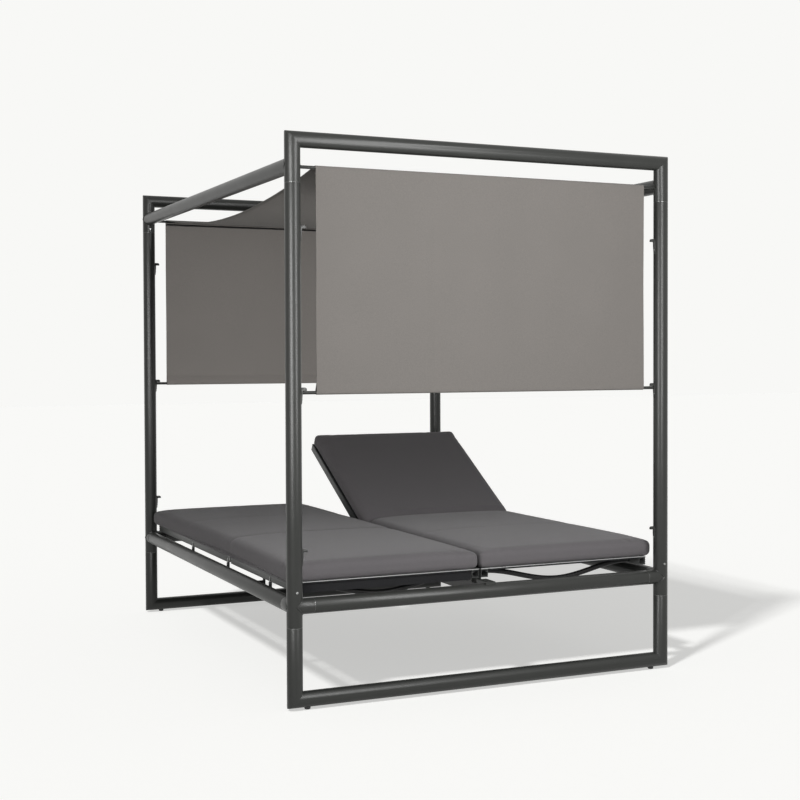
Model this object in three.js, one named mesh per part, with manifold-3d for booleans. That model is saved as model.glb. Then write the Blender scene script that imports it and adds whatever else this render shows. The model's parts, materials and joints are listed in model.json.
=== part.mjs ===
import * as THREE from 'three';
import { mergeVertices } from 'three/addons/utils/BufferGeometryUtils.js';
import Module from 'manifold-3d';

// Outdoor daybed with a canopy: a knock-down frame of round tube, a cloth over two rods with
// a hem bar at each end, and two loungers side by side, the left one turned end for end.
// Millimetres. X runs across the front portal, Y from the front portal to the back one, Z up.

const wasm = await Module();
wasm.setup();

// Driving dimensions of the whole
const portalSpan = 1520; // between the post axes, along X
const portalDepth = 2030; // between the planes of the two portals, along Y
const overallHeight = 2000;
const seatGap = 0.3; // left between two pieces that touch
const cutOverrun = 5; // how far a cutting tool reaches past what it cuts

// Round tube of the canopy frame
const tubeRadius = 28;
const tubeWall = 2.5;
const spigotGap = 0.4;
const spigotWall = 3;
const postSpigotLength = 110;
const railSpigotLength = 70;
const lowJointHeight = 288;
const highJointDrop = 178; // below the top, as are the next two
const topRailDrop = 115;
const canopyRodDrop = 122;
const bedRailHeight = 360;
const stubLength = 40; // welded stub, out of the post's surface

// Glides under the floor rails
const glideHeight = 8;
const glideRadius = 11;
const glideFlatRadius = 7;
const glideDomeHeight = 4;
const glideInset = 46; // from the post's axis

// Centre beam and what stands on it
const beamWidth = 40;
const beamDepth = 40;
const beamWall = 2.5;
const beamTop = 378;
const beamSaddleRise = 6; // thickness over the bed rail
const beamSaddleReach = 60;
const beamSaddleLap = 15; // past the bed rail's axis
const spacerLength = 30;
const studLength = 10;

// Canopy rods, hem bars and cloth
const rodRadius = 6;
const hemBarHeight = 1100;
const hemBarEndGap = 5.5; // from the post's surface
const clothEndGap = 55; // from the posts' surfaces
const clothThickness = 2;
const roofSag = 82;
const curtainWaveDepth = 4;

// Hooks on the posts
const lowHookHeight = 540;
const highHookDrop = 162; // below the posts' high joint
const hookWidth = 12;
const hookTop = 18; // above the bar's centre
const hookNose = 20; // out of the post's surface
const hookStem = 4.5;
const hookFoot = 40; // below the bar's centre
const hookToe = 1.5;
const hookChamfer = 6;
const hookShoulder = 8; // where the stem starts to taper, below the bar's centre

// Loungers
const loungerEndGap = 42; // from the portals' facing surfaces
const foldPlace = 188; // hinge line, from the middle of the bed
const railWidth = 30;
const railHeight = 30;
const railWall = 2.6;
const railBottom = 398;
const innerRailPlace = 4; // near face of the inner rail, from the middle of the bed
const outerRailInset = 24; // near face of the outer rail, in from the posts' facing surfaces
const grooveDepth = 1.2;
const grooveWidth = 3;
const grooveSpacing = 9;
const hingeSetback = 17; // rail ends, from the hinge axis
const hingePlugLength = 14;
const hingePlugInset = 2.4; // from the rail's sides
const cheekThickness = 5;
const cheekRadius = 12;
const tongueThickness = 10;
const tongueRadius = 10;
const pinRadius = 4;
const pinClearance = 0.4;
const pinLip = 1.7;

const crossRadius = 10;
const crossEndHeight = 410;
const crossDrop = 50;
const crossStraight = 12; // at each end, before it bows
const crossEndInset = 75; // from the lounger's ends
const seatCrossInset = 78; // from the hinge axis, as is the next
const backCrossInset = 150;
const slingThickness = 1.6;
const slingInset = 5; // from the rails' far faces
const slingHemRadius = 4;
const slingEndInset = 6;

// Stay that props the back, its rack and its pivot brackets
const stayEndRoom = 117; // left between the flat stay and the back's end
const stayBarRadius = 6;
const stayLegRadius = 7;
const stayLegInset = 156; // from the rails' facing sides
const stayPivotInset = 4.6;
const stayTopInset = 1;
const stayBoreGap = 0.3;
const rackThickness = 4;
const rackRise = 7.5;
const rackOverrun = 20; // past the first and the last notch
const rackNotchDepth = 5;
const bracketInset = 6;
const bracketThickness = 4;
const bracketLength = 24;
const bracketTopRise = 10; // above the hinge axis
const bracketBottom = 345;
const bracketFootTop = 372;

// Saddles and spacers that carry a lounger on the side rail and on the centre beam
const seatSaddlePlace = 352; // from the middle of the bed
const hingeSaddleInset = 23; // from the hinge axis
const backSaddleInset = 255; // from the lounger's end, as is the next
const endSpacerInset = 45;
const saddleLength = 6;
const saddleInset = 4; // from the outer rail's near face
const saddleBottom = 372;
const spacerLengths = [studLength, spacerLength, spacerLength, spacerLength];

// Mattress
const mattressGap = 0.5; // from the middle of the bed
const mattressOverhang = 1.5; // past the rails' ends
const mattressEdge = 59; // height at its sides
const mattressCrown = 14;
const topRounding = 24;
const bottomRounding = 10;
const endRounding = 24;
const sideBulge = 3;
const sidePull = 5; // drawn in along the length
const endBulge = 4;
const seamInset = 555; // from the seat's free end
const seamDip = 8;
const seamReach = 30;
const foldRamp = 150;
const foldPull = 5;
const foldDip = 6;

// Angles
const restingBackAngle = THREE.MathUtils.degToRad(29);
const highestBackAngle = THREE.MathUtils.degToRad(65);
const foldSlackAngle = THREE.MathUtils.degToRad(1);
const notchAngles = [0, 15, 29, 42, 54, 65].map(THREE.MathUtils.degToRad);

// Counts of flats and steps
const tubeSides = 16;
const spigotSides = 8;
const glideSides = 12;
const rodSides = 8;
const barSides = 8;
const hemSides = 12;
const crossSteps = 8;
const roofSteps = 18;
const wrapSteps = 4;
const curtainColumns = 18;
const curtainRows = 8;
const curtainWaves = 3;
const knuckleSteps = 4;
const panelColumns = 8;
const bottomColumns = 4;
const cornerSteps = 2;
const topCornerSteps = 3;
const endSteps = 3;
const rampSteps = 5;
const foldSteps = 4;

// Shares
const hookRootShare = 0.75; // of the tube's wall
const almostParallelShare = 0.000001;
const endBottomShare = 0.4;
const foldWaistShare = 1;
const endPanelShares = [0.33, 0.62, 0.84]; // of the way from the seat's free end to its seam
const middlePanelShares = [0.25, 0.5]; // of the way from the seam to the hinge
const backPanelShares = [0.74, 0.53, 0.36]; // of the back's length

// Worked out from the values above
const postX = portalSpan / 2;
const postY = portalDepth / 2;
const innerX = postX - tubeRadius;
const innerY = postY - tubeRadius;
const tubeBore = tubeRadius - tubeWall;
const floorRailHeight = glideHeight + tubeRadius;
const topTubeHeight = overallHeight - tubeRadius;
const highJointHeight = overallHeight - highJointDrop;
const topRailHeight = overallHeight - topRailDrop;
const canopyRodHeight = overallHeight - canopyRodDrop;
const clothWidth = 2 * (innerX - clothEndGap);
const stubEndX = innerX - stubLength;
const stubEndY = innerY - stubLength;
const hingeHeight = railBottom + railHeight / 2;
const railTop = railBottom + railHeight;
const loungerHalfLength = innerY - loungerEndGap;
const backLength = loungerHalfLength - foldPlace;
const outerRailPlace = innerX - outerRailInset;
const seamPlace = seamInset - loungerHalfLength;
const seatCrossPlaces = [crossEndInset - loungerHalfLength, seamPlace, foldPlace - seatCrossInset];
const backCrossPlaces = [backCrossInset, backLength - crossEndInset]; // from the hinge axis
const stayReach = (backLength - stayEndRoom) / 2; // hinge to pivot, and pivot to the top bar
const hingeSaddlePlace = foldPlace - hingeSaddleInset;
const backSaddlePlace = loungerHalfLength - backSaddleInset;
const saddlePlaces = [-seatSaddlePlace, hingeSaddlePlace, backSaddlePlace];
const spacerPlaces = [hingeSaddlePlace, seatSaddlePlace, backSaddlePlace, loungerHalfLength - endSpacerInset];
const foldHalfAngle = (highestBackAngle + foldSlackAngle) / 2;
const innerFace = innerRailPlace + railWidth;
const slingBottom = railTop + seatGap;
const mattressBottom = slingBottom + slingThickness + seatGap;
const mattressWidth = outerRailPlace + railWidth - 2 * sideBulge;
const mattressMiddle = mattressGap + sideBulge + mattressWidth / 2;
const clothMidRadius = rodRadius + seatGap + clothThickness / 2;
const bothSigns = [-1, 1];
const hookHeights = [lowHookHeight, hemBarHeight, highJointHeight - highHookDrop];

const finish = (color, roughness, metalness) => () => (
  new THREE.MeshStandardMaterial({ color, roughness, metalness })
);
const frameFinish = finish('#4a4b49', 0.5, 0.5);
const railFinish = finish('#6a6b6a', 0.45, 0.5);
const canopyCloth = finish('#827f7a', 0.95, 0);
const slingCloth = finish('#2b2b2c', 0.9, 0);
const mattressCloth = finish('#5a585a', 0.97, 0);
const glidePlastic = finish('#161616', 0.7, 0);
const pinSteel = finish('#8d8f90', 0.35, 0.9);

// A closed geometry as a solid for cutting and joining, and back again.
function solid(geometry) {
  const bare = geometry.clone();
  for (const name of Object.keys(bare.attributes)) {
    if (name !== 'position') bare.deleteAttribute(name);
  }
  const merged = mergeVertices(bare);
  return new wasm.Manifold(new wasm.Mesh({
    numProp: 3,
    vertProperties: new Float32Array(merged.attributes.position.array),
    triVerts: new Uint32Array(merged.index.array),
  }));
}

function geometryFrom(points, triangles) {
  const geometry = new THREE.BufferGeometry();
  geometry.setAttribute('position', new THREE.BufferAttribute(new Float32Array(points), 3));
  geometry.setIndex(new THREE.BufferAttribute(new Uint32Array(triangles), 1));
  return geometry;
}

function finished(body) {
  const mesh = body.getMesh();
  return geometryFrom(mesh.vertProperties, mesh.triVerts);
}

const join = (shapes) => shapes.map(solid).reduce((all, one) => all.add(one));
const cut = (body, tools) => tools.map(solid).reduce((rest, tool) => rest.subtract(tool), body);

function block([x0, x1], [y0, y1], [z0, z1]) {
  return new THREE.BoxGeometry(x1 - x0, y1 - y0, z1 - z0)
    .translate((x0 + x1) / 2, (y0 + y1) / 2, (z0 + z1) / 2);
}

function planeNormal(directions) {
  const crosses = directions.map((d) => new THREE.Vector3().crossVectors(directions[0], d));
  const widest = crosses.reduce((a, b) => (b.length() > a.length() ? b : a));
  if (widest.length() > almostParallelShare) return widest.normalize();
  const alongX = Math.abs(directions[0].x) > Math.SQRT1_2;
  const spare = alongX ? new THREE.Vector3(0, 1, 0) : new THREE.Vector3(1, 0, 0);
  return spare.cross(directions[0]).normalize();
}

// Closed skin over rings of points, each ring with as many points, ends covered.
function skin(rings, tips = null) {
  const sides = rings[0].length;
  const points = rings.flat(2);
  const triangles = [];
  for (let ring = 0; ring + 1 < rings.length; ring++) {
    for (let k = 0; k < sides; k++) {
      const next = (k + 1) % sides;
      const low = ring * sides;
      const high = low + sides;
      triangles.push(low + k, low + next, high + next, low + k, high + next, high + k);
    }
  }
  const last = (rings.length - 1) * sides;
  const total = rings.length * sides;
  for (let k = 0; k < sides; k++) {
    const next = (k + 1) % sides;
    if (tips) triangles.push(total, next, k, total + 1, last + k, last + next);
    else if (k > 0 && next > 0) triangles.push(0, next, k, last, last + k, last + next);
  }
  if (tips) points.push(...tips.flat());
  return geometryFrom(points, triangles);
}

// A bar through points that lie in one plane, mitred at every corner.
function bar(points, radius, sides) {
  const path = points.map((p) => new THREE.Vector3(...p));
  const directions = path.slice(1).map((p, i) => p.clone().sub(path[i]).normalize());
  const normal = planeNormal(directions);
  const rings = path.map((centre, i) => {
    const before = directions[Math.max(i - 1, 0)];
    const after = directions[Math.min(i, directions.length - 1)];
    const along = before.clone().add(after).normalize();
    const side = normal.clone().cross(along).divideScalar(along.dot(before));
    return Array.from({ length: sides }, (_, k) => {
      const angle = 2 * Math.PI * k / sides;
      return centre.clone().addScaledVector(side, radius * Math.cos(angle))
        .addScaledVector(normal, radius * Math.sin(angle)).toArray();
    });
  });
  return skin(rings);
}

function lengthened(points, length) {
  const path = points.map((p) => new THREE.Vector3(...p));
  const end = path.length - 1;
  const first = path[0].clone().sub(path[1]).setLength(length).add(path[0]);
  const last = path[end].clone().sub(path[end - 1]).setLength(length).add(path[end]);
  return [first, ...path.slice(1, end), last].map((p) => p.toArray());
}

// A frame tube, open at both ends.
function openTube(points) {
  return solid(bar(points, tubeRadius, tubeSides)).subtract(
    solid(bar(lengthened(points, cutOverrun), tubeBore, tubeSides)),
  );
}

function outlineShape(points) {
  return new THREE.Shape(points.map((p) => new THREE.Vector2(...p)));
}

// A prism along X from an outline in the YZ plane.
function prismAlongX(shape, x0, x1) {
  const basis = new THREE.Matrix4().makeBasis(
    new THREE.Vector3(0, 1, 0), new THREE.Vector3(0, 0, 1), new THREE.Vector3(1, 0, 0),
  );
  return new THREE.ExtrudeGeometry(shape, { depth: x1 - x0, bevelEnabled: false })
    .applyMatrix4(basis).translate(x0, 0, 0);
}

// A prism along Y from an outline in the XZ plane.
function prismAlongY(shape, y0, y1) {
  const basis = new THREE.Matrix4().makeBasis(
    new THREE.Vector3(1, 0, 0), new THREE.Vector3(0, 0, 1), new THREE.Vector3(0, -1, 0),
  );
  return new THREE.ExtrudeGeometry(shape, { depth: y1 - y0, bevelEnabled: false })
    .applyMatrix4(basis).translate(0, y1, 0);
}

function addPiece(group, name, geometry, material) {
  const mesh = new THREE.Mesh(geometry, material);
  mesh.name = name;
  group.add(mesh);
}

// A portal end: two legs and the rail that joins them with mitred corners.
function portalEnd(sy, legEnd, railLevel) {
  return finished(openTube([
    [-postX, sy * postY, legEnd], [-postX, sy * postY, railLevel],
    [postX, sy * postY, railLevel], [postX, sy * postY, legEnd],
  ]));
}

function postAxis(sx, sy, low, high) {
  return [[sx * postX, sy * postY, low], [sx * postX, sy * postY, high]];
}

// A sleeve fixed in the mouth of a tube, which the next tube slides over.
function spigot(inside, mouth, tip) {
  const fixed = bar([inside, mouth], tubeBore + tubeWall / 2, spigotSides);
  const free = bar([inside, tip], tubeBore - spigotGap, spigotSides);
  const bore = bar(lengthened([inside, tip], cutOverrun), tubeBore - spigotGap - spigotWall, spigotSides);
  return cut(join([fixed, free]), [bore]);
}

// A middle post with its two welded stubs for the bed rails, its sleeves and its three hooks.
function middlePost(sx, sy) {
  const low = lowJointHeight + seatGap;
  const high = highJointHeight - seatGap;
  const [x, y] = [sx * postX, sy * postY];
  const level = bedRailHeight;
  const bars = (radius, overrun) => [
    bar(postAxis(sx, sy, low - overrun, high + overrun), radius, tubeSides),
    bar([[x, y, level], [sx * (stubEndX - overrun), y, level]], radius, tubeSides),
    bar([[x, y, level], [x, sy * (stubEndY - overrun), level]], radius, tubeSides),
  ];
  const body = join([...bars(tubeRadius, 0), ...hooks(sx, sy)]).subtract(join(bars(tubeBore, cutOverrun)));
  const reach = postSpigotLength / 2;
  const half = railSpigotLength / 2;
  const sleeves = [
    spigot([x, y, low + reach], [x, y, low], [x, y, low - reach]),
    spigot([x, y, high - reach], [x, y, high], [x, y, high + reach]),
    spigot([sx * (stubEndX + half), y, level], [sx * stubEndX, y, level], [sx * (stubEndX - half), y, level]),
    spigot([x, sy * (stubEndY + half), level], [x, sy * stubEndY, level], [x, sy * (stubEndY - half), level]),
  ];
  return finished(sleeves.reduce((all, one) => all.add(one), body));
}

function bedRailAcross(sy) {
  const end = stubEndX - seatGap;
  return finished(openTube([[-end, sy * postY, bedRailHeight], [end, sy * postY, bedRailHeight]]));
}

// The right bed rail with the saddles and the stay bracket welded to it. The left one is the same,
// turned end for end, as its lounger is.
function bedRailAlong() {
  const end = stubEndY - seatGap;
  const line = [[postX, -end, bedRailHeight], [postX, end, bedRailHeight]];
  const saddles = saddlePlaces.map((place) => block(
    [outerRailPlace + saddleInset, postX],
    [place - saddleLength / 2, place + saddleLength / 2],
    [saddleBottom, railBottom - seatGap],
  ));
  const plate = outerRailPlace - bracketInset;
  const body = join([bar(line, tubeRadius, tubeSides), ...saddles,
    ...stayBracket([plate - bracketThickness, plate], [plate - bracketThickness, postX])]);
  return finished(cut(body, [bar(lengthened(line, cutOverrun), tubeBore, tubeSides), stayBore()]));
}

// A top rail, coped to fit the posts.
function topRail(sx) {
  const tube = openTube([[sx * postX, -postY, topRailHeight], [sx * postX, postY, topRailHeight]]);
  const posts = bothSigns.map((sy) => bar(postAxis(sx, sy, highJointHeight, overallHeight),
    tubeRadius + seatGap, tubeSides));
  return finished(cut(tube, posts));
}

function glide(sx, sy) {
  const outline = [
    [0, 0], [glideFlatRadius, 0], [glideRadius, glideDomeHeight],
    [glideRadius, floorRailHeight], [0, floorRailHeight],
  ];
  const nub = new THREE.LatheGeometry(outline.map((p) => new THREE.Vector2(...p)), glideSides)
    .rotateX(Math.PI / 2).translate(sx * (postX - glideInset), sy * postY, 0);
  const rail = bar([[-postX, sy * postY, floorRailHeight], [postX, sy * postY, floorRailHeight]],
    tubeRadius + seatGap, tubeSides);
  return finished(cut(solid(nub), [rail]));
}

// The three hooks of a post, reaching into its tube.
function hooks(sx, sy) {
  const barTop = rodRadius + seatGap;
  const root = -tubeWall * hookRootShare;
  const profile = [
    [root, hookTop], [hookNose - hookChamfer, hookTop], [hookNose, hookTop - hookChamfer],
    [hookNose, barTop], [hookStem, barTop], [hookStem, -hookShoulder], [hookToe, -hookFoot],
    [root, -hookFoot],
  ].map(([out, up]) => [sx * (innerX - out), up]);
  const blank = prismAlongY(outlineShape(profile), sy * postY - hookWidth / 2, sy * postY + hookWidth / 2);
  return hookHeights.map((height) => blank.clone().translate(0, 0, height));
}

function canopyRod(sy) {
  const end = innerX - seatGap;
  return bar([[-end, sy * postY, canopyRodHeight], [end, sy * postY, canopyRodHeight]], rodRadius, rodSides);
}

function hemBar(sy) {
  const end = innerX - hemBarEndGap;
  return bar([[-end, sy * postY, hemBarHeight], [end, sy * postY, hemBarHeight]], rodRadius, rodSides);
}

// The sagging roof cloth, from the outer side of one rod over both rods to the other.
function canopyRoof() {
  const leaving = Math.atan(2 * roofSag / postY);
  const leaveY = postY - clothMidRadius * Math.sin(leaving);
  const leaveZ = canopyRodHeight + clothMidRadius * Math.cos(leaving);
  const half = [];
  for (let i = 0; i <= wrapSteps; i++) {
    const angle = (Math.PI / 2 + leaving) * i / wrapSteps;
    half.push({
      y: -postY - clothMidRadius * Math.cos(angle), z: canopyRodHeight + clothMidRadius * Math.sin(angle),
      ny: -Math.cos(angle), nz: Math.sin(angle),
    });
  }
  const middle = [];
  for (let i = 1; i < roofSteps; i++) {
    const y = leaveY * (2 * i / roofSteps - 1);
    const slope = 2 * roofSag * y / leaveY ** 2;
    const size = Math.hypot(1, slope);
    middle.push({ y, z: leaveZ - roofSag * (1 - (y / leaveY) ** 2), ny: -slope / size, nz: 1 / size });
  }
  const other = half.map((p) => ({ ...p, y: -p.y, ny: -p.ny })).reverse();
  const line = [...half, ...middle, ...other];
  const shifted = (by) => line.map((p) => [p.y + by * p.ny, p.z + by * p.nz]);
  const outline = [...shifted(-clothThickness / 2), ...shifted(clothThickness / 2).reverse()];
  return prismAlongX(outlineShape(outline), -clothWidth / 2, clothWidth / 2);
}

// A hanging end of the cloth: soft waves between the rod and the loop round the hem bar.
function curtain(sy) {
  const top = canopyRodHeight - seatGap;
  const height = top - hemBarHeight;
  const sheet = new THREE.BoxGeometry(clothWidth, clothThickness, height, curtainColumns, 1, curtainRows);
  const points = sheet.attributes.position;
  for (let i = 0; i < points.count; i++) {
    const hang = Math.sin(Math.PI * (points.getZ(i) / height + 1 / 2));
    const wave = Math.sin(2 * Math.PI * curtainWaves * points.getX(i) / clothWidth);
    points.setY(i, points.getY(i) + curtainWaveDepth * hang ** 2 * wave);
  }
  sheet.translate(0, sy * (postY + clothMidRadius), (top + hemBarHeight) / 2);
  const line = [[-clothWidth / 2, sy * postY, hemBarHeight], [clothWidth / 2, sy * postY, hemBarHeight]];
  const loop = bar(line, clothMidRadius + clothThickness / 2, hemSides);
  const bore = bar(lengthened(line, cutOverrun), clothMidRadius - clothThickness / 2, hemSides);
  return finished(cut(join([sheet, loop]), [bore]));
}

// The bore that takes the shaft of the right lounger's stay.
function stayBore() {
  const place = foldPlace + stayReach;
  return bar([[0, place, hingeHeight], [postX, place, hingeHeight]], stayBarRadius + stayBoreGap, hemSides);
}

// A plate that holds the stay's shaft, with a foot to the beam or the rail that carries it.
function stayBracket(plate, foot) {
  const place = foldPlace + stayReach;
  const length = [place - bracketLength / 2, place + bracketLength / 2];
  return [block(plate, length, [bracketBottom, hingeHeight + bracketTopRise]),
    block(foot, length, [bracketBottom, bracketFootTop])];
}

// The hollow beam under the meeting rails, its ends coped over both bed rails, with the spacers
// that the rails lie on and a stay bracket for each lounger.
function centralBeam() {
  const bottom = beamTop - beamDepth;
  const half = beamWidth / 2;
  const root = beamTop - beamWall / 2;
  const saddleTop = bedRailHeight + tubeRadius + beamSaddleRise;
  const pieces = [block([-half, half], [-postY, postY], [bottom, beamTop])];
  for (const sy of bothSigns) {
    const saddle = [sy * (postY + beamSaddleLap), sy * (postY - beamSaddleReach)].sort(rising);
    pieces.push(block([-half, half], saddle, [root, saddleTop]));
    spacerPlaces.forEach((place, i) => {
      const reach = spacerLengths[i] / 2;
      const spacer = [sy * place - reach, sy * place + reach];
      pieces.push(block([-half, half], spacer, [root, railBottom - seatGap]));
    });
  }
  const plate = innerFace + bracketInset;
  const plateEnd = plate + bracketThickness;
  const bracket = stayBracket([plate, plateEnd], [half - beamWall / 2, plateEnd]);
  pieces.push(...turned(bracket));
  const rails = bothSigns.map((sy) => bar(
    [-postX, postX].map((x) => [x, sy * postY, bedRailHeight]), tubeRadius + seatGap, tubeSides,
  ));
  const hollow = block([beamWall - half, half - beamWall], [-postY - cutOverrun, postY + cutOverrun],
    [bottom + beamWall, beamTop - beamWall]);
  return finished(cut(join(pieces), [hollow, ...rails, ...turned([stayBore()])]));
}

const rising = (a, b) => a - b;

// The same pieces for both loungers: the second set is turned end for end.
const turned = (pieces) => [...pieces, ...pieces.map((piece) => piece.clone().rotateZ(Math.PI))];

function hingePin(place) {
  return bar([[place - pinLip, foldPlace, hingeHeight], [place + railWidth + pinLip, foldPlace, hingeHeight]],
    pinRadius, rodSides);
}

// Section of a lounger rail: a square tube with long grooves on both sides.
function railShape(place) {
  const outline = [];
  const bottom = hingeHeight - railHeight / 2;
  const grooves = [-grooveSpacing / 2, grooveSpacing / 2];
  outline.push([place, bottom], [place + railWidth, bottom]);
  for (const rise of grooves) {
    const low = hingeHeight + rise - grooveWidth / 2;
    const far = place + railWidth;
    const deep = far - grooveDepth;
    outline.push([far, low], [deep, low], [deep, low + grooveWidth], [far, low + grooveWidth]);
  }
  outline.push([place + railWidth, railTop], [place, railTop]);
  for (const rise of [...grooves].reverse()) {
    const high = hingeHeight + rise + grooveWidth / 2;
    const deep = place + grooveDepth;
    outline.push([place, high], [deep, high], [deep, high - grooveWidth], [place, high - grooveWidth]);
  }
  const shape = outlineShape(outline);
  const left = place + railWall;
  const right = place + railWidth - railWall;
  shape.holes.push(new THREE.Path([
    [left, bottom + railWall], [left, railTop - railWall],
    [right, railTop - railWall], [right, bottom + railWall],
  ].map((p) => new THREE.Vector2(...p))));
  return shape;
}

// A flat plate with a round end at the hinge axis; way is +1 for a plate that comes from the back.
function knuckle(x0, x1, radius, way) {
  const outline = [[foldPlace + way * (hingeSetback + hingePlugLength), hingeHeight - radius]];
  for (let i = 0; i <= knuckleSteps; i++) {
    const angle = Math.PI * i / knuckleSteps;
    outline.push([foldPlace - way * radius * Math.sin(angle), hingeHeight - radius * Math.cos(angle)]);
  }
  outline.push([foldPlace + way * (hingeSetback + hingePlugLength), hingeHeight + radius]);
  return prismAlongX(outlineShape(outline), x0, x1);
}

function hingePlug(place, way) {
  const ends = [foldPlace + way * hingeSetback, foldPlace + way * (hingeSetback + hingePlugLength)];
  return block([place + hingePlugInset, place + railWidth - hingePlugInset], ends.sort(rising),
    [railBottom + railWall / 2, railTop - railWall / 2]);
}

function pinHole(place) {
  const ends = [place - cutOverrun, place + railWidth + cutOverrun];
  return bar(ends.map((x) => [x, foldPlace, hingeHeight]), pinRadius + pinClearance, rodSides);
}

function seatRail(place) {
  const body = join([
    prismAlongY(railShape(place), -loungerHalfLength, foldPlace - hingeSetback),
    hingePlug(place, -1),
    knuckle(place, place + cheekThickness, cheekRadius, -1),
    knuckle(place + railWidth - cheekThickness, place + railWidth, cheekRadius, -1),
  ]);
  return finished(cut(body, [pinHole(place)]));
}

// A back rail with the notched strip on its inner side that the stay's top bar rides under.
function backRail(place, rackSpan) {
  const middle = place + railWidth / 2;
  const body = join([
    rack(rackSpan),
    prismAlongY(railShape(place), foldPlace + hingeSetback, loungerHalfLength),
    hingePlug(place, 1),
    knuckle(middle - tongueThickness / 2, middle + tongueThickness / 2, tongueRadius, 1),
  ]);
  return finished(cut(body, [pinHole(place)]));
}

// A bowed tube between the two rails.
function crossTube(place) {
  const from = innerFace + seatGap;
  const to = outerRailPlace - seatGap;
  const span = to - from - 2 * crossStraight;
  const bow = Array.from({ length: crossSteps + 1 }, (_, i) => {
    const drop = crossDrop * (1 - Math.cos(2 * Math.PI * i / crossSteps)) / 2;
    return [from + crossStraight + span * i / crossSteps, place, crossEndHeight - drop];
  });
  return bar([[from, place, crossEndHeight], ...bow, [to, place, crossEndHeight]], crossRadius, barSides);
}

// A sling laid over both rails, with a rolled hem at its free end.
function sling(hingeEnd, freeEnd) {
  const from = innerRailPlace + slingInset;
  const to = outerRailPlace + railWidth - slingInset;
  const top = slingBottom + slingThickness;
  const sheet = block([from, to], [hingeEnd, freeEnd].sort(rising), [slingBottom, top]);
  const line = [innerFace + seatGap, outerRailPlace - seatGap].map((x) => [x, freeEnd, top - slingHemRadius]);
  const hem = bar(line, slingHemRadius, barSides);
  return finished(join([sheet, hem]));
}

// The notched strip along one back rail, over the places that the stay's bar comes to.
function rack([x0, x1]) {
  const low = hingeHeight + stayBarRadius + seatGap;
  const start = foldPlace + 2 * stayReach * Math.cos(highestBackAngle) - rackOverrun;
  const end = foldPlace + 2 * stayReach + rackOverrun;
  const outline = [[start, low]];
  for (const angle of [...notchAngles].reverse()) {
    const place = foldPlace + 2 * stayReach * Math.cos(angle);
    outline.push([place - rackNotchDepth, low], [place, low + rackNotchDepth]);
    outline.push([place + rackNotchDepth / 2, low]);
  }
  outline.push([end, low], [end, low + rackRise], [start, low + rackRise]);
  return prismAlongX(outlineShape(outline), x0, x1);
}

// The U-shaped prop: pivot shaft, two legs and the bar that bears on the racks.
function stay() {
  const pivot = foldPlace + stayReach;
  const top = pivot + stayReach;
  const line = (place, inset) => (
    [innerFace + inset, outerRailPlace - inset].map((x) => [x, place, hingeHeight])
  );
  const legs = [innerFace + stayLegInset, outerRailPlace - stayLegInset].map((x) => bar(
    [[x, pivot, hingeHeight], [x, top, hingeHeight]], stayLegRadius, rodSides,
  ));
  return finished(join([
    bar(line(pivot, stayPivotInset), stayBarRadius, rodSides),
    bar(line(top, stayTopInset), stayBarRadius, rodSides),
    ...legs,
  ]));
}

// One round of points about the mattress section, as [x, z]: pull draws the sides in, dip lowers
// the top and lift raises the bottom.
function mattressSection(pull, dip, lift) {
  const half = mattressWidth / 2 - pull;
  const bottom = mattressBottom + lift;
  const topAt = (x) => mattressBottom + mattressEdge - dip + mattressCrown * (1 - (x / half) ** 2);
  const flat = half - topRounding;
  const right = [];
  for (let i = 0; i <= cornerSteps; i++) {
    const angle = Math.PI / 2 * (i / cornerSteps - 1);
    right.push([half - bottomRounding + bottomRounding * Math.cos(angle),
      bottom + bottomRounding + bottomRounding * Math.sin(angle)]);
  }
  const cornerHeight = topAt(flat) - topRounding;
  right.push([half + sideBulge, (bottom + bottomRounding + cornerHeight) / 2]);
  for (let i = 0; i <= topCornerSteps; i++) {
    const angle = Math.PI / 2 * i / topCornerSteps;
    right.push([flat + topRounding * Math.cos(angle), cornerHeight + topRounding * Math.sin(angle)]);
  }
  const top = [];
  for (let i = 1; i < panelColumns; i++) {
    const x = flat * (1 - 2 * i / panelColumns);
    top.push([x, topAt(x)]);
  }
  const left = right.map(([x, z]) => [-x, z]).reverse();
  const under = [];
  for (let i = 1; i < bottomColumns; i++) {
    under.push([(half - bottomRounding) * (2 * i / bottomColumns - 1), bottom]);
  }
  return [...right, ...top, ...left, ...under].map(([x, z]) => [mattressMiddle + x, z]);
}

const smoothShare = (share) => share * share * (3 - 2 * share);

// Rings of one mattress part from its free end to the fold; way is +1 for the back part.
// Places run from the hinge axis towards the free end.
function mattressRings(length, panels, seam, way) {
  const free = length + mattressOverhang;
  const stations = [];
  for (let i = 0; i <= endSteps; i++) {
    const angle = Math.PI / 2 * i / endSteps;
    const round = endRounding * (1 - Math.sin(angle));
    stations.push({ place: free - endRounding * (1 - Math.cos(angle)), round });
  }
  const plain = panels.map((place) => ({ place }));
  const channel = seam === null ? [] : [-1, -1 / 2, 0, 1 / 2, 1].map((side) => ({
    place: seam - side * seamReach, dip: seamDip * (1 + Math.cos(Math.PI * side)) / 2,
  }));
  stations.push(...[...plain, ...channel].sort((a, b) => b.place - a.place));
  for (let i = 0; i <= rampSteps; i++) {
    const share = i / rampSteps;
    const near = share ** 3;
    stations.push({
      place: foldRamp * (1 - share), lean: smoothShare(share), dip: foldDip * near, pull: foldPull * near,
    });
  }
  return stations.map(({ place, round = 0, dip = 0, pull = 0, lean = 0 }) => {
    const waist = sidePull * Math.sin(Math.PI * THREE.MathUtils.clamp(place / length, 0, 1)) ** 2;
    return mattressSection(round + pull + waist, round + dip, round * endBottomShare).map(([x, z]) => {
      const shear = lean * ((z - hingeHeight) * Math.tan(foldHalfAngle) + seatGap / Math.cos(foldHalfAngle));
      return [x, foldPlace + way * (Math.max(place, 0) + shear), z];
    });
  });
}

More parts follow.
